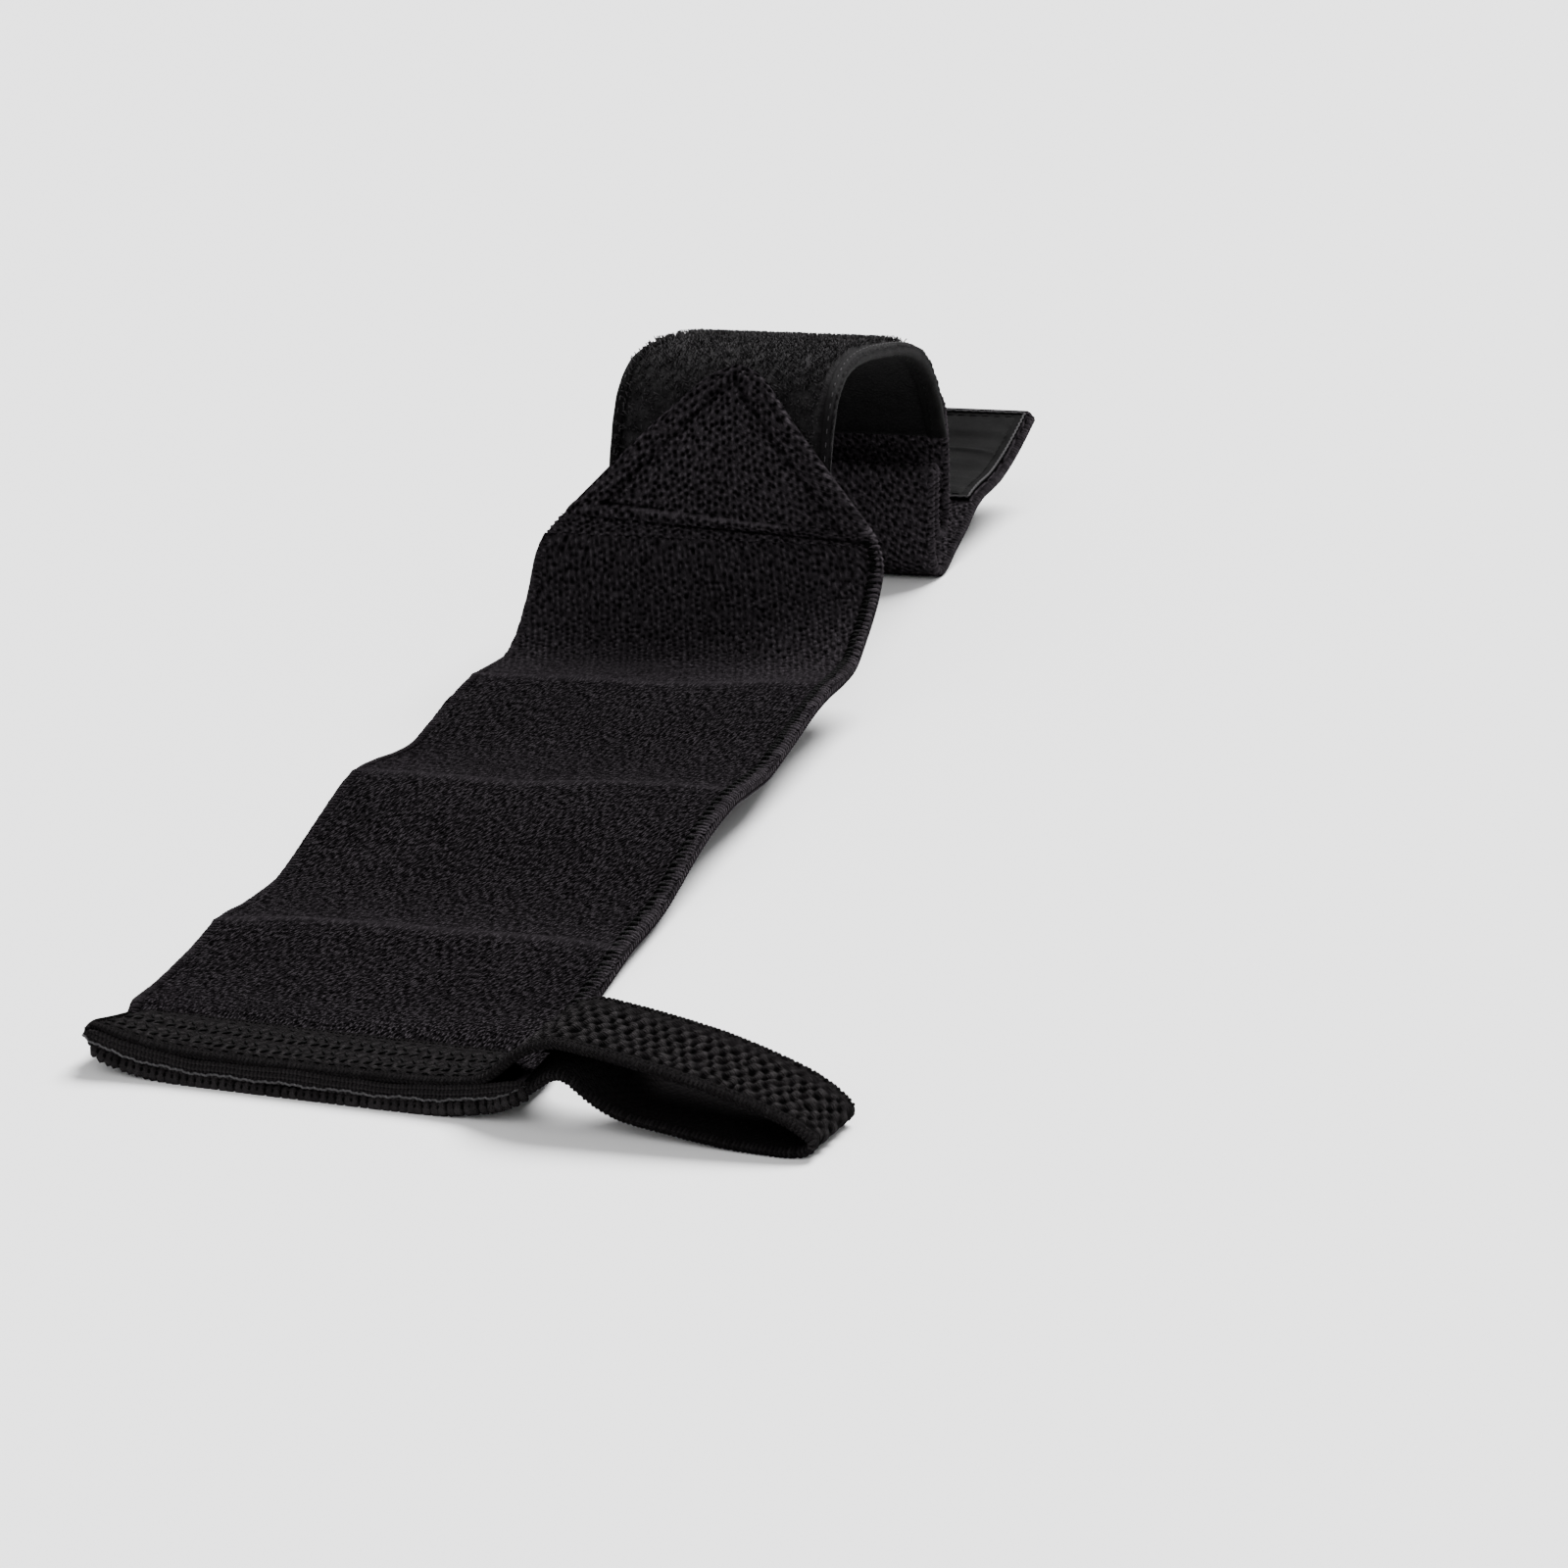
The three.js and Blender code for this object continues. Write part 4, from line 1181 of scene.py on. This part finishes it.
def braid_gap_shade():
    """Painted shade: dark tubes in the gaps where the braid's yarns dive under each other, leaning left
    and right in turn.
    """
    t = np.linspace(-0.5, 0.5, 4)[None, :]
    rows = []
    for place, lean in [(4.3, -1), (1.3, 1), (-1.9, -1), (-4.9, 1)]:
        s = np.arange(2.5 + 0.5 * lean, 78, BRAID_STROKE)[:, None]
        s = s + rng.uniform(-0.25, 0.25, s.shape)
        v = place + rng.uniform(-0.2, 0.2, s.shape) + 1.5 * t
        rows.append(on_strap(s + 1.1 * lean * t, v / STRAP_HALF, STRAP_THICKNESS / 2 + 0.1))
    radii = np.array([0.08, 0.27, 0.27, 0.08])
    tubes("braid_gap_shade", np.concatenate(rows), radii, 6, dark_thread_and_gap_shade)


braid_gap_shade()

# %% [markdown]
# ## The strap's bound edges
# The webbing's edges are wound with much finer thread than the band's, so the ribs stand close
# together. They catch a thin line of light, with a painted highlight along each rib, which outlines
# the loop.
# %% Wind the strap's edges
def strap_rib(s, side, t):
    """From the strap's face round its edge to its back."""
    angle = t * np.pi
    reach = 1 - 1.5 / STRAP_HALF + 1.5 / STRAP_HALF * np.sin(angle)
    return on_strap(s + 0.1 * t, side * reach, (STRAP_THICKNESS / 2 - 0.05) * np.cos(angle))


last = strap_length - 0.5
edge_ribs("loop_edge_ribs", 0.5, last, 0.8, strap_rib, 0.36, 6, webbing)


# %% [markdown]
# ## The hem's overcast edge
# Along the hem the lower layer's near edge is overcast with thick thread, right through the band, and
# at the left end the thread closes both layers. These ribs are the coarsest on the wrap, and the
# shade in the gap between each two, where the needle passed, is painted as a short dark tube.
# %% Overcast the hem
def hem_rib(s, side, t):
    """From the lower layer's face round its near edge."""
    angle = (0.08 + 0.84 * t) * np.pi
    return on_strap(s + 0.3 * t, side * (0.89 + 0.09 * np.sin(angle)), 0.8 * np.cos(angle) + 0.12)


hem_start, hem_end, hem_pitch = strap_length - 83.4, strap_length - 1.0, 1.45
edge_ribs(
    "hem_edge_ribs", hem_start, hem_end, hem_pitch, hem_rib, 0.98, 7, webbing, (-1,), 1.0
)


def hem_pit_shade():
    """Painted shade: short dark tubes in the gaps between the ribs, low on the hem's rolled edge."""
    s = np.arange(hem_start + hem_pitch, hem_end, hem_pitch)[:, None]
    t = np.linspace(0, 1, 4)[None, :]
    angle = (0.56 + 0.2 * t) * np.pi
    line = on_strap(s + 0.12 * t, -0.915 - 0.125 * np.sin(angle), 1.18 * np.cos(angle) + 0.12)
    tubes("hem_pit_shade", line, np.array([0.12, 0.32, 0.32, 0.12]), 6, dark_thread_and_gap_shade)


hem_pit_shade()


def end_rib(s, side, t):
    """Turns of thread that close the strap's two layers at the hem's left end."""
    a, height = 1 - s / STRAP_HALF, STRAP_THICKNESS / 2 + 0.1
    upper = on_strap(s * 0 + 0.6, a, height)
    lower = on_strap(s * 0 + strap_length - 0.6, a, height)
    t = t[..., None]
    bulge = np.array([-1.7, 0.0, 0.0]) * np.sin(np.pi * t) ** 0.7
    return upper * (1 - t) + lower * t + bulge


edge_ribs("hem_end_ribs", 0.6, 17.0, 1.0, end_rib, 0.75, 9, webbing, (1,), 0.75)

# %% [markdown]
# ## The pile panel
# The closure strip's face is loop pile, thousands of tiny loops that the tab's hooks catch in. A ground
# with a rough face gives the body, and small bent tubes give the fuzzy outline against the light floor.
# %% Grow the pile
PILE_HALF = PANEL_WIDTH / 2 - BINDING_OUTER_FLAP + BINDING_WALL + GAP - 0.7
PILE_LOOPS = 9400
panel_path = Path(arch, 0, PANEL_LENGTH, 1.0)


def make_panel():
    """The arch's ground: pile height in the middle, thin under the bindings."""
    face = Path(arch, 0, PANEL_LENGTH - SEAM_TUCK, 0.8)
    columns = 61
    x_top = np.linspace(PANEL_WIDTH / 2, -PANEL_WIDTH / 2, columns)
    rise = PILE_HEIGHT * smoothstep(-np.abs(x_top), -PILE_HALF - 0.1, -PILE_HALF + 0.8)
    rough = value_noise(len(face.s), columns, 2, 2, 0.18)
    rough = rough + value_noise(len(face.s), columns, 7, 6, 0.15)
    top = panel_back + PANEL_BASE + rise * 0.68 + rough * (rise > 0.5)
    x_low = np.linspace(-PANEL_WIDTH / 2, PANEL_WIDTH / 2, 25)
    low = panel_back + value_noise(len(face.s), 25, 9, 6, 0.06)
    x = np.concatenate([x_top, x_low])
    h = np.concatenate([top, low], axis=1) * thin_end(face.s)
    points = face.point(np.tile(x, (len(face.s), 1)), h)
    values = {"raised": np.concatenate([np.full(top.shape, 0.4), np.full(low.shape, 0.05)], axis=1)}
    return sweep("panel_pile_ground", points, face.s, pile, ["pile_panel"], values)


def grow_loops(name, path, x_range, s_range, height, size, count, material, radius):
    """Small bent tubes that stand on a path at this height and lean every way."""
    s = rng.uniform(*s_range, count)
    x = rng.uniform(*x_range, count)
    turn = rng.uniform(0, 2 * np.pi, count)
    scale = rng.uniform(0.7, 1.15, count)
    t = np.linspace(0, 1, 4)[None, :]
    run = (np.sin(t * np.pi * 0.8) * 0.5 + t * 0.35) * size * scale[:, None]
    rise = np.sin(t * np.pi * 0.72) * size * scale[:, None]
    place, out = path.read(s)
    lean = ACROSS * np.cos(turn)[:, None] + np.cross(out, ACROSS) * np.sin(turn)[:, None]
    start = place + ACROSS * x[:, None] + out * height
    paths = start[:, None] + lean[:, None] * run[..., None] + out[:, None] * rise[..., None]
    # Painted shade: each pile loop is drawn darkest at its root, down among the other loops, and lighter
    # towards its top.
    tone = rng.uniform(0.3, 1.5, (count, 1)) * np.array([0.3, 0.8, 1.1, 1.0])
    tubes(name, paths, np.array([1.0, 0.95, 0.8, 0.55]) * radius, 3, material, tone)


pile_ground = make_panel()
pile_across = (-PILE_HALF - 1.6, PILE_HALF - 0.4)
pile_along = (0.5, PANEL_LENGTH - TAIL_OVERLAP - 0.5)
grow_loops(
    "panel_pile_loops", panel_path, pile_across, pile_along, -0.85, 1.35, PILE_LOOPS, pile, 0.16
)

# %% [markdown]
# ## The panel's edge bindings
# Smooth tape folded over each long edge keeps the panel from fraying. Its section is a flat C, rounded
# at the fold, with a narrow flap outside and a wider one inside the arch. On the near side its stitches
# draw the rim up into an uneven cord.
# %% Fold the binding tape
BINDING_RIM = PANEL_WIDTH / 2 + GAP + BINDING_WALL
binding_under, binding_over = panel_back - GAP, panel_back + PANEL_BASE + GAP


def binding_section(side):
    """x and h of the folded tape's section, anticlockwise seen from the start of the arch."""
    under, over = binding_under, binding_over
    radius = (over - under) / 2
    turn = np.linspace(-np.pi / 2, np.pi / 2, 9)
    inside = BINDING_RIM - BINDING_WALL
    centre = inside - radius * 0.6
    x_out = centre + (BINDING_RIM - centre) * np.cos(turn)
    x_in = centre + (inside - centre) * np.cos(turn)
    h_out = (under + over) / 2 + (radius + BINDING_WALL) * np.sin(turn)
    h_in = (under + over) / 2 + radius * np.sin(turn)
    inner_end, outer_end = BINDING_RIM - BINDING_INNER_FLAP, BINDING_RIM - BINDING_OUTER_FLAP
    inner = np.linspace(inner_end, x_out[0], 6)[:-1]
    outer = np.linspace(x_out[-1], outer_end, 4)[1:]
    x = np.concatenate([inner, x_out, outer, [outer_end], x_in[::-1], [inner_end]])
    h = np.concatenate([
        np.full(5, under - BINDING_WALL), h_out, np.full(3, over + BINDING_WALL), [over],
        h_in[::-1], [under],
    ])
    if side < 0:
        x, h = -x[::-1], h[::-1]
    return x, h


def make_binding(side, name, node):
    """One folded tape along the whole arch. Painted shade darkens its inner flap inside the arch, most of
    all towards the back leg, and the left tape as a whole.
    """
    path = Path(arch, 0, PANEL_LENGTH - SEAM_TUCK, 0.9)
    x, h = binding_section(side)
    pucker = value_noise(len(path.s), len(x), 4, 50, 0.22)
    # Painted shade: the inner flap inside the arch is drawn darker, more so towards the back leg, and the
    # left tape is drawn darker than the right.
    inner = 1 - smoothstep(h, binding_under - 0.6, panel_back + 0.4)[None, :]
    inner = inner * (0.5 + 0.42 * smoothstep(path.s, 60, 90)[:, None])
    values = {"raised": (1 - inner) * (0.9 if side > 0 else 0.5)}
    h = (h + pucker * 0.4) * thin_end(path.s)
    points = path.point(x + pucker * 0.5, h)
    sweep(name, points, path.s, tape, [node], values)


make_binding(-1, "binding_left_tape", "edge_binding_left")
make_binding(1, "binding_right_tape", "edge_binding_right")


def binding_rope():
    """The tape's folded rim on the arch's near side, drawn up unevenly by its stitches."""
    path = Path(arch, 1, PANEL_LENGTH - SEAM_TUCK - 1, 0.35)
    beat = path.s * 2.4 + 2.5 * value_noise(len(path.s), 1, 14, 1, 1.0)[:, 0]
    swing = value_noise(len(path.s), 1, 9, 1, 0.3)[:, 0] + 0.1 * np.sin(beat)
    x = BINDING_RIM - 0.25 + 0 * path.s
    line = path.point(x[:, None], (panel_back + PANEL_BASE + 0.25 + swing)[:, None])[:, 0]
    radius = 0.34 * (1 + 0.22 * np.sin(beat)) * np.sqrt(thin_end(path.s)[:, 0])
    tone = 1.05 + 0.4 * np.sin(2 * beat) + value_noise(len(path.s), 1, 12, 1, 0.4)[:, 0]
    tubes("binding_rope", line[None], radius, 6, tape, tone)


binding_rope()

# %% [markdown]
# ## The tail and its edges
# Past the panel the strip is knitted elastic again. It is sewn over the panel's end, drops down the
# arch's back leg, makes a loose fold on the floor and runs out under the satin patch to the tab's end.
# %% Knit the tail
TAIL_KNOT = (1.5, 1.65)
TAIL_KNOT_HEIGHT = 0.28
tail_path = Path(tail, 0, tail_length, 0.6)


def on_tail(s, x, height):
    """Points on the tail: s along it, x across, height out of its middle."""
    s, x, height = np.broadcast_arrays(s, x, height)
    place, out = tail_path.read(s)
    return place + ACROSS * x[..., None] + unit(out) * height[..., None]


def make_tail():
    """The tail, knotted on both faces as far as the patches, and plain between them."""
    covered = tail_length - PATCH_LENGTH - 2
    fine, plain = np.arange(0, covered, 0.48), np.arange(covered, tail_length - 4, 2)
    cut_end = tail_length - np.array([3.5, 2.4, 1.4, 0.7, 0.25, 0.0])
    s = np.concatenate([fine, plain, cut_end])[:, None]
    x = np.linspace(TAIL_WIDTH / 2, -TAIL_WIDTH / 2, 101)[None, :]
    x = x * (1 - 0.09 * np.clip(1 - (tail_length - s) / 3.5, 0, 1) ** 2)
    size = TAIL_KNOT_HEIGHT * (1 - smoothstep(s, covered - 3, covered))
    roll = edge_roll(x, TAIL_WIDTH / 2, 1.3, 0.6)
    face, face_tone = knot_relief(x, s, *TAIL_KNOT)
    back, back_tone = knot_relief(-x, s, *TAIL_KNOT)
    face = TAIL_THICKNESS / 2 - 0.05 - roll + face * size
    back = -TAIL_THICKNESS / 2 + 0.05 + roll - back * size
    points = np.concatenate([on_tail(s, x, face), on_tail(s, -x, back)], axis=1)
    values = {
        "coarse": np.ones(points.shape[:2]),
        # Painted light: the tail's tone is raised by a quarter, to make up for its faces turning away
        # from the lamps.
        "raised": 1.25 * np.concatenate([face_tone, back_tone], axis=1),
    }
    return sweep("tail_knit", points, s[:, 0], knit, ["tail_band"], values)


def tail_rib(s, side, t):
    """From the tail's face round its edge to its back."""
    angle = t * np.pi
    x = side * (TAIL_WIDTH / 2 - 1.2 + 1.2 * np.sin(angle))
    return on_tail(s + 0.5 * t, x, (TAIL_THICKNESS / 2 - 0.1) * np.cos(angle))


tail_knit = make_tail()
edge_ribs("tail_edge_ribs", 1.0, tail_length - 1.0, 1.3, tail_rib, 0.5, 6, knit)

# %% [markdown]
# ## The label patch and the hook patch
# The tab's outer face carries a bare satin patch, sewn down all round near its edge. Under the tab
# lies the hook patch, whose short bent hooks grip the pile. The satin's slight wrinkles are modelled.
# %% Sew on the patches
OUTER_FACE = TAIL_THICKNESS / 2 + GAP
HOOKS = 1500
patch_end = tail_length - PATCH_END_MARGIN
patch_start = patch_end - PATCH_LENGTH


# along the label, middle across it, reach across
WRINKLES = [(9, -8, 9), (15, -5, 12), (22, 4, 8), (38, 9, 10)]
LABEL_SEAM = 2.4


def make_label():
    """The satin, sunk along its seam and slightly wrinkled inside it."""
    rows, columns = 110, 61
    s = np.linspace(patch_start, patch_end, rows)[:, None]
    x = np.linspace(LABEL_WIDTH / 2, -LABEL_WIDTH / 2, columns)[None, :]
    from_edge = np.minimum(LABEL_WIDTH / 2 - np.abs(x), np.minimum(s - patch_start, patch_end - s))
    quilted = 0.3 * smoothstep(from_edge, 2.5, 7.0) - 0.22 * bell(from_edge - LABEL_SEAM, 0.5)
    wrinkles = value_noise(rows, columns, 9, 30, 0.5) + value_noise(rows, columns, 4, 9, 0.08)
    for place, middle, reach in WRINKLES:
        line = s - patch_start - place - 0.12 * x - 1.2 * np.sin(x / 6 + place)
        wrinkles = wrinkles + 0.75 * bell(line, 1.1) * bell(x - middle, reach)
    top = OUTER_FACE + LABEL_THICKNESS + quilted + wrinkles * smoothstep(from_edge, 0, 4) - 0.15
    x_low = np.linspace(-LABEL_WIDTH / 2, LABEL_WIDTH / 2, 9)[None, :]
    points = np.concatenate([on_tail(s, x, top), on_tail(s, x_low, OUTER_FACE - 0.25)], axis=1)
    return sweep("label_satin_patch", points, s[:, 0], satin, ["label_patch"])


def make_hook_ground():
    """The hooks' backing, with a low ridge under each row."""
    s = np.linspace(patch_start, patch_end, 60)[:, None]
    x = np.linspace(HOOK_WIDTH / 2, -HOOK_WIDTH / 2, 25)[None, :]
    ridges = 0.08 * np.cos(np.pi * np.arange(25))[None, :]
    top = on_tail(s, x, -OUTER_FACE + 0.2)
    low = on_tail(s, -x, -OUTER_FACE - 0.55 + ridges)
    sweep("hook_ground", np.concatenate([top, low], axis=1), s[:, 0], hook, ["hook_patch"])


label = make_label()
make_hook_ground()
under_tab = copy.copy(tail_path)
under_tab.out = -tail_path.out
hooks_across = (-HOOK_WIDTH / 2 + 1, HOOK_WIDTH / 2 - 1)
hooks_along = (patch_start + 1, patch_end - 1)
hook_root = OUTER_FACE + 0.45
grow_loops(
    "hook_hooks", under_tab, hooks_across, hooks_along, hook_root, 0.7, HOOKS, hook, 0.14
)

# %% [markdown]
# ## The seams of point and strap
# A seam is a row of short stitches with small gaps, each sunk at both ends. Every stitch is a tiny
# tapered tube along the seam's line, so it catches light as thread does, also from the side.
# %% Sew the point and the strap
def stitches(name, seams, sizes, material):
    """Each seam gives points for distances and heights, with its start and end along itself. The sizes
    are a stitch's length, the gap after it and its radius."""
    length, gap, radius = sizes
    pieces = []
    for place, start, end in seams:
        count = max(1, int((end - start) / (length + gap)))
        begin = start + (np.arange(count) + 0.5) * (end - start) / count - length / 2
        t = np.linspace(0, 1, 5)
        sink = -0.28 * (2 * t - 1) ** 4
        pieces.append(place(begin[:, None] + t[None, :] * length, sink[None, :] + radius * 0.5))
    paths = np.concatenate(pieces)
    tubes(name, paths, radius * np.array([0.45, 1, 1, 1, 0.45]), 5, material)


seam_rise = POINT_HEIGHT - 5.2
slope_run = math.hypot(seam_rise, seam_rise * 0.9)


def point_seam(side):
    """Along a sloping edge of the point, inside the folded border."""
    def place(q, height):
        d = np.interp(q / slope_run, [0, 1], [point_foot + 2, band_length - 3.2])
        x = side * (half * half_width(d) - SEAM_FROM_EDGE * SLOPE_STRETCH)
        return on_band(d, x, BAND_THICKNESS - 0.35 + height)

    return place


def welt_seam(offset):
    """Across the band beside the welt."""
    def place(q, height):
        x = q - half
        d = welt_place + offset - x * math.tan(WELT_SKEW)
        return on_band(d, x, BAND_THICKNESS - 0.2 + height)

    return place


def strap_seam(a):
    """Along the sewn part of the strap, a across it."""
    return lambda q, height: on_strap(q, a, STRAP_THICKNESS / 2 - 0.1 + height)


point_seams = [
    (point_seam(-1), 0.5, slope_run - 5.5),
    (point_seam(1), 0.5, slope_run - 5.5),
    (welt_seam(-1.7), 4.0, BAND_WIDTH - 4.0),
    (welt_seam(1.7), 9.0, BAND_WIDTH - 9.0),
]
stitches("point_stitches", point_seams, (1.9, 1.3, 0.15), dark_thread_and_gap_shade)
strap_seams = [(strap_seam(-0.72), 2, 76), (strap_seam(0.7), 2, 76)]
stitches("strap_stitches", strap_seams, (1.7, 1.1, 0.15), dark_thread_and_gap_shade)

# %% [markdown]
# ## The label's seam and border
# The label is sewn down in a rectangle a little inside its edge, with dark thread. Its raw edge is
# overlocked with a paler thread, which draws a thin wavy line round the black satin.
# %% Sew the label
def label_cross_seam(s):
    """Across the label at s."""
    return lambda q, h: on_tail(s + 0 * q, q - seam_half, label_face + h), 0, 2 * seam_half


def label_side_seam(side):
    """Along one side of the label."""
    return lambda q, h: on_tail(q, side * seam_half + 0 * q, label_face + h), seam_start, seam_end


seam_half = LABEL_WIDTH / 2 - LABEL_SEAM
seam_start, seam_end = patch_start + LABEL_SEAM, patch_end - LABEL_SEAM
label_face = OUTER_FACE + LABEL_THICKNESS - 0.15


def label_border():
    """The pale overlocking thread round the label's edge, as one closed wavy line."""
    a, first, last = LABEL_WIDTH / 2 - 0.2, patch_start + 0.3, patch_end - 0.3
    corners = [(first, -a), (first, a), (last, a), (last, -a)]
    loop = np.array(corners + corners[:1])
    run = lengths(loop)
    q = np.arange(0, run[-1], 0.45)
    s = np.interp(q, run, loop[:, 0])
    x = np.interp(q, run, loop[:, 1])
    wave = 0.16 * np.sin(2 * np.pi * q / 2.2)
    line = on_tail(s + wave, x + wave, OUTER_FACE + LABEL_THICKNESS + 0.1)
    tubes("label_border_thread", line[None], np.full(len(q), 0.26), 5, grey_thread)


label_border()
label_seams = [
    label_cross_seam(seam_start), label_cross_seam(seam_end), label_side_seam(-1), label_side_seam(1)
]
stitches("label_stitches", label_seams, (2.2, 0.8, 0.14), dark_thread_and_gap_shade)

# %% [markdown]
# ## The seams of binding and tail
# One row of stitches goes through each binding. It shows outside as grey dashes near the rim and inside
# the arch as a dark row. Two dark rows across the strip hold the tail's end over the panel's end.
# %% Sew the bindings and the tail
def binding_seam(side, from_rim, face, outward):
    """Along a binding's outer flap, or along its inner one where outward is -1."""
    def place(q, height):
        q, height = np.broadcast_arrays(q, height)
        base, out = panel_path.read(q)
        moved = base + ACROSS * side * (BINDING_RIM - from_rim)
        return moved + out * (face + outward * height)[..., None]

    return place, 1.5, PANEL_LENGTH - SEAM_TUCK


outer_seams = [binding_seam(side, 1.3, binding_over + BINDING_WALL, 1) for side in (-1, 1)]
stitches("binding_stitches", outer_seams, (1.6, 1.5, 0.15), grey_thread)
inner_seams = [binding_seam(side, 2.9, binding_under - BINDING_WALL, -1) for side in (-1, 1)]
stitches("binding_inner_stitches", inner_seams, (2.2, 0.9, 0.2), dark_thread_and_gap_shade)


def tail_seam(s):
    """Across the tail at s."""
    return lambda q, height: on_tail(s + 0 * q, q - TAIL_WIDTH / 2, TAIL_THICKNESS / 2 - 0.1 + height)


tail_seams = [(tail_seam(s), 2, TAIL_WIDTH - 2) for s in (1.8, TAIL_OVERLAP - 2)]
stitches("tail_stitches", tail_seams, (2.2, 0.8, 0.24), dark_thread_and_gap_shade)

# %% [markdown]
# ## The hem's cut end
# Between the two layers of strap shows the band's cut end, wound into thin cords, and a pale thread
# wanders along it. That thread is the brightest line on the wrap. All of them follow the hem's curl.
# %% Run the cords and the hem thread
under_hem = BAND_FOLDS[0][1] * FOLD_HEIGHT


def hem_line(forward, height, waves, count=620):
    """A line along the hem from its left to its right corner. waves are (length, height) pairs."""
    x = np.linspace(-half + 3.0, half + 5.5, count)
    swing = sum(size * np.sin(2 * np.pi * x / length + 9 * size) for length, size in waves)
    left = np.clip((-half + 6.5 - x) / 3.5, 0, 1) ** 2
    right = np.clip((x - half + 1.0) / 6.5, 0, 1) ** 2
    y = HEM_START - HEM_SETBACK - forward - x * math.tan(HEM_SKEW) + 0.3 * swing + 1.2 * left
    y = y + 1.0 * right
    z = height + (under_hem + 0.7 - height) * np.maximum(left, 0.8 * right) + 0.9 * right
    return np.stack([x, y, z + swing + front_lift(x)], axis=-1)


def hem_cord(name, forward, height, radius):
    """One wound cord, thinner at its ends."""
    line = hem_line(forward, height, [(31, 0.12), (13, 0.06)])
    step = np.arange(len(line))
    turns = np.cos(step * 1.15)
    ends = smoothstep(np.minimum(step, len(line) - 1 - step), -20, 30)
    radii = radius * (1 + 0.12 * turns) * ends
    # Painted light: the cords' tone is raised to make up for the shade they lie in, and each turn of the
    # winding is drawn lighter where it bulges.
    tubes(name, line[None], radii, 7, webbing, 1.0 + 0.3 * turns)


hem_cord("hem_cord_low", 0.75, under_hem + 0.4, 0.5)
hem_cord("hem_cord_middle", 0.45, under_hem + 1.35, 0.5)
hem_cord("hem_cord_high", 0.15, under_hem + 2.2, 0.42)
thread_waves = [(11.0, 0.12), (3.1, 0.09), (1.3, 0.07), (0.6, 0.04)]
thread_line = hem_line(1.25, under_hem + 0.5, thread_waves, 1300)
tubes("hem_thread", thread_line[None], np.full(1300, 0.2), 5, pale_thread)

# %% [markdown]
# ## The floor and the studio light
# The wrap lies on white paper under large soft lights, so its shadows are short and pale. A wide plane
# gives the same ground. Two very wide sun lamps stand for the soft lights: a strong one from the back
# and the right, which shows the relief, and a weak one from the front. The white sky fills the rest.
# %% Set the floor and the lights
def studio_floor():
    """A wide sheet of white paper. It is the stage and no part of the wrap."""
    bpy.ops.object.select_all(action="DESELECT")
    bpy.ops.mesh.primitive_plane_add(size=14, location=(0, 3, 0))
    floor = bpy.context.active_object
    floor.name = "studio_floor"
    paper, nodes, links = new_material("white_paper")
    shader = nodes.new("ShaderNodeBsdfPrincipled")
    output = nodes.new("ShaderNodeOutputMaterial")
    links.new(shader.outputs["BSDF"], output.inputs["Surface"])
    shader.inputs["Base Color"].default_value = (0.86, 0.86, 0.865, 1)
    shader.inputs["Roughness"].default_value = 0.9
    shader.inputs["Specular IOR Level"].default_value = 0.1
    floor.data.materials.append(paper)


def soft_sky(name, from_side, from_back, strength, spread):
    """A wide, soft lamp overhead: how far it leans over to the right and to the back, in degrees."""
    data = bpy.data.lights.new(name, "SUN")
    data.energy = strength
    data.angle = math.radians(spread)
    light = bpy.data.objects.new(name, data)
    light.rotation_euler = (math.radians(-from_back), math.radians(from_side), 0)
    bpy.context.collection.objects.link(light)


studio_floor()
soft_sky("overhead_light", 14, 40, 10.4, 30)
soft_sky("front_light", -6, -50, 1.5, 60)
world = bpy.data.worlds.new("studio_world")
world.use_nodes = True
sky = world.node_tree.nodes["Background"]
sky.inputs["Color"].default_value = (1, 1, 1, 1)
sky.inputs["Strength"].default_value = 0.55
bpy.context.scene.world = world
print("lights:", ", ".join(light.name for light in bpy.data.lights))
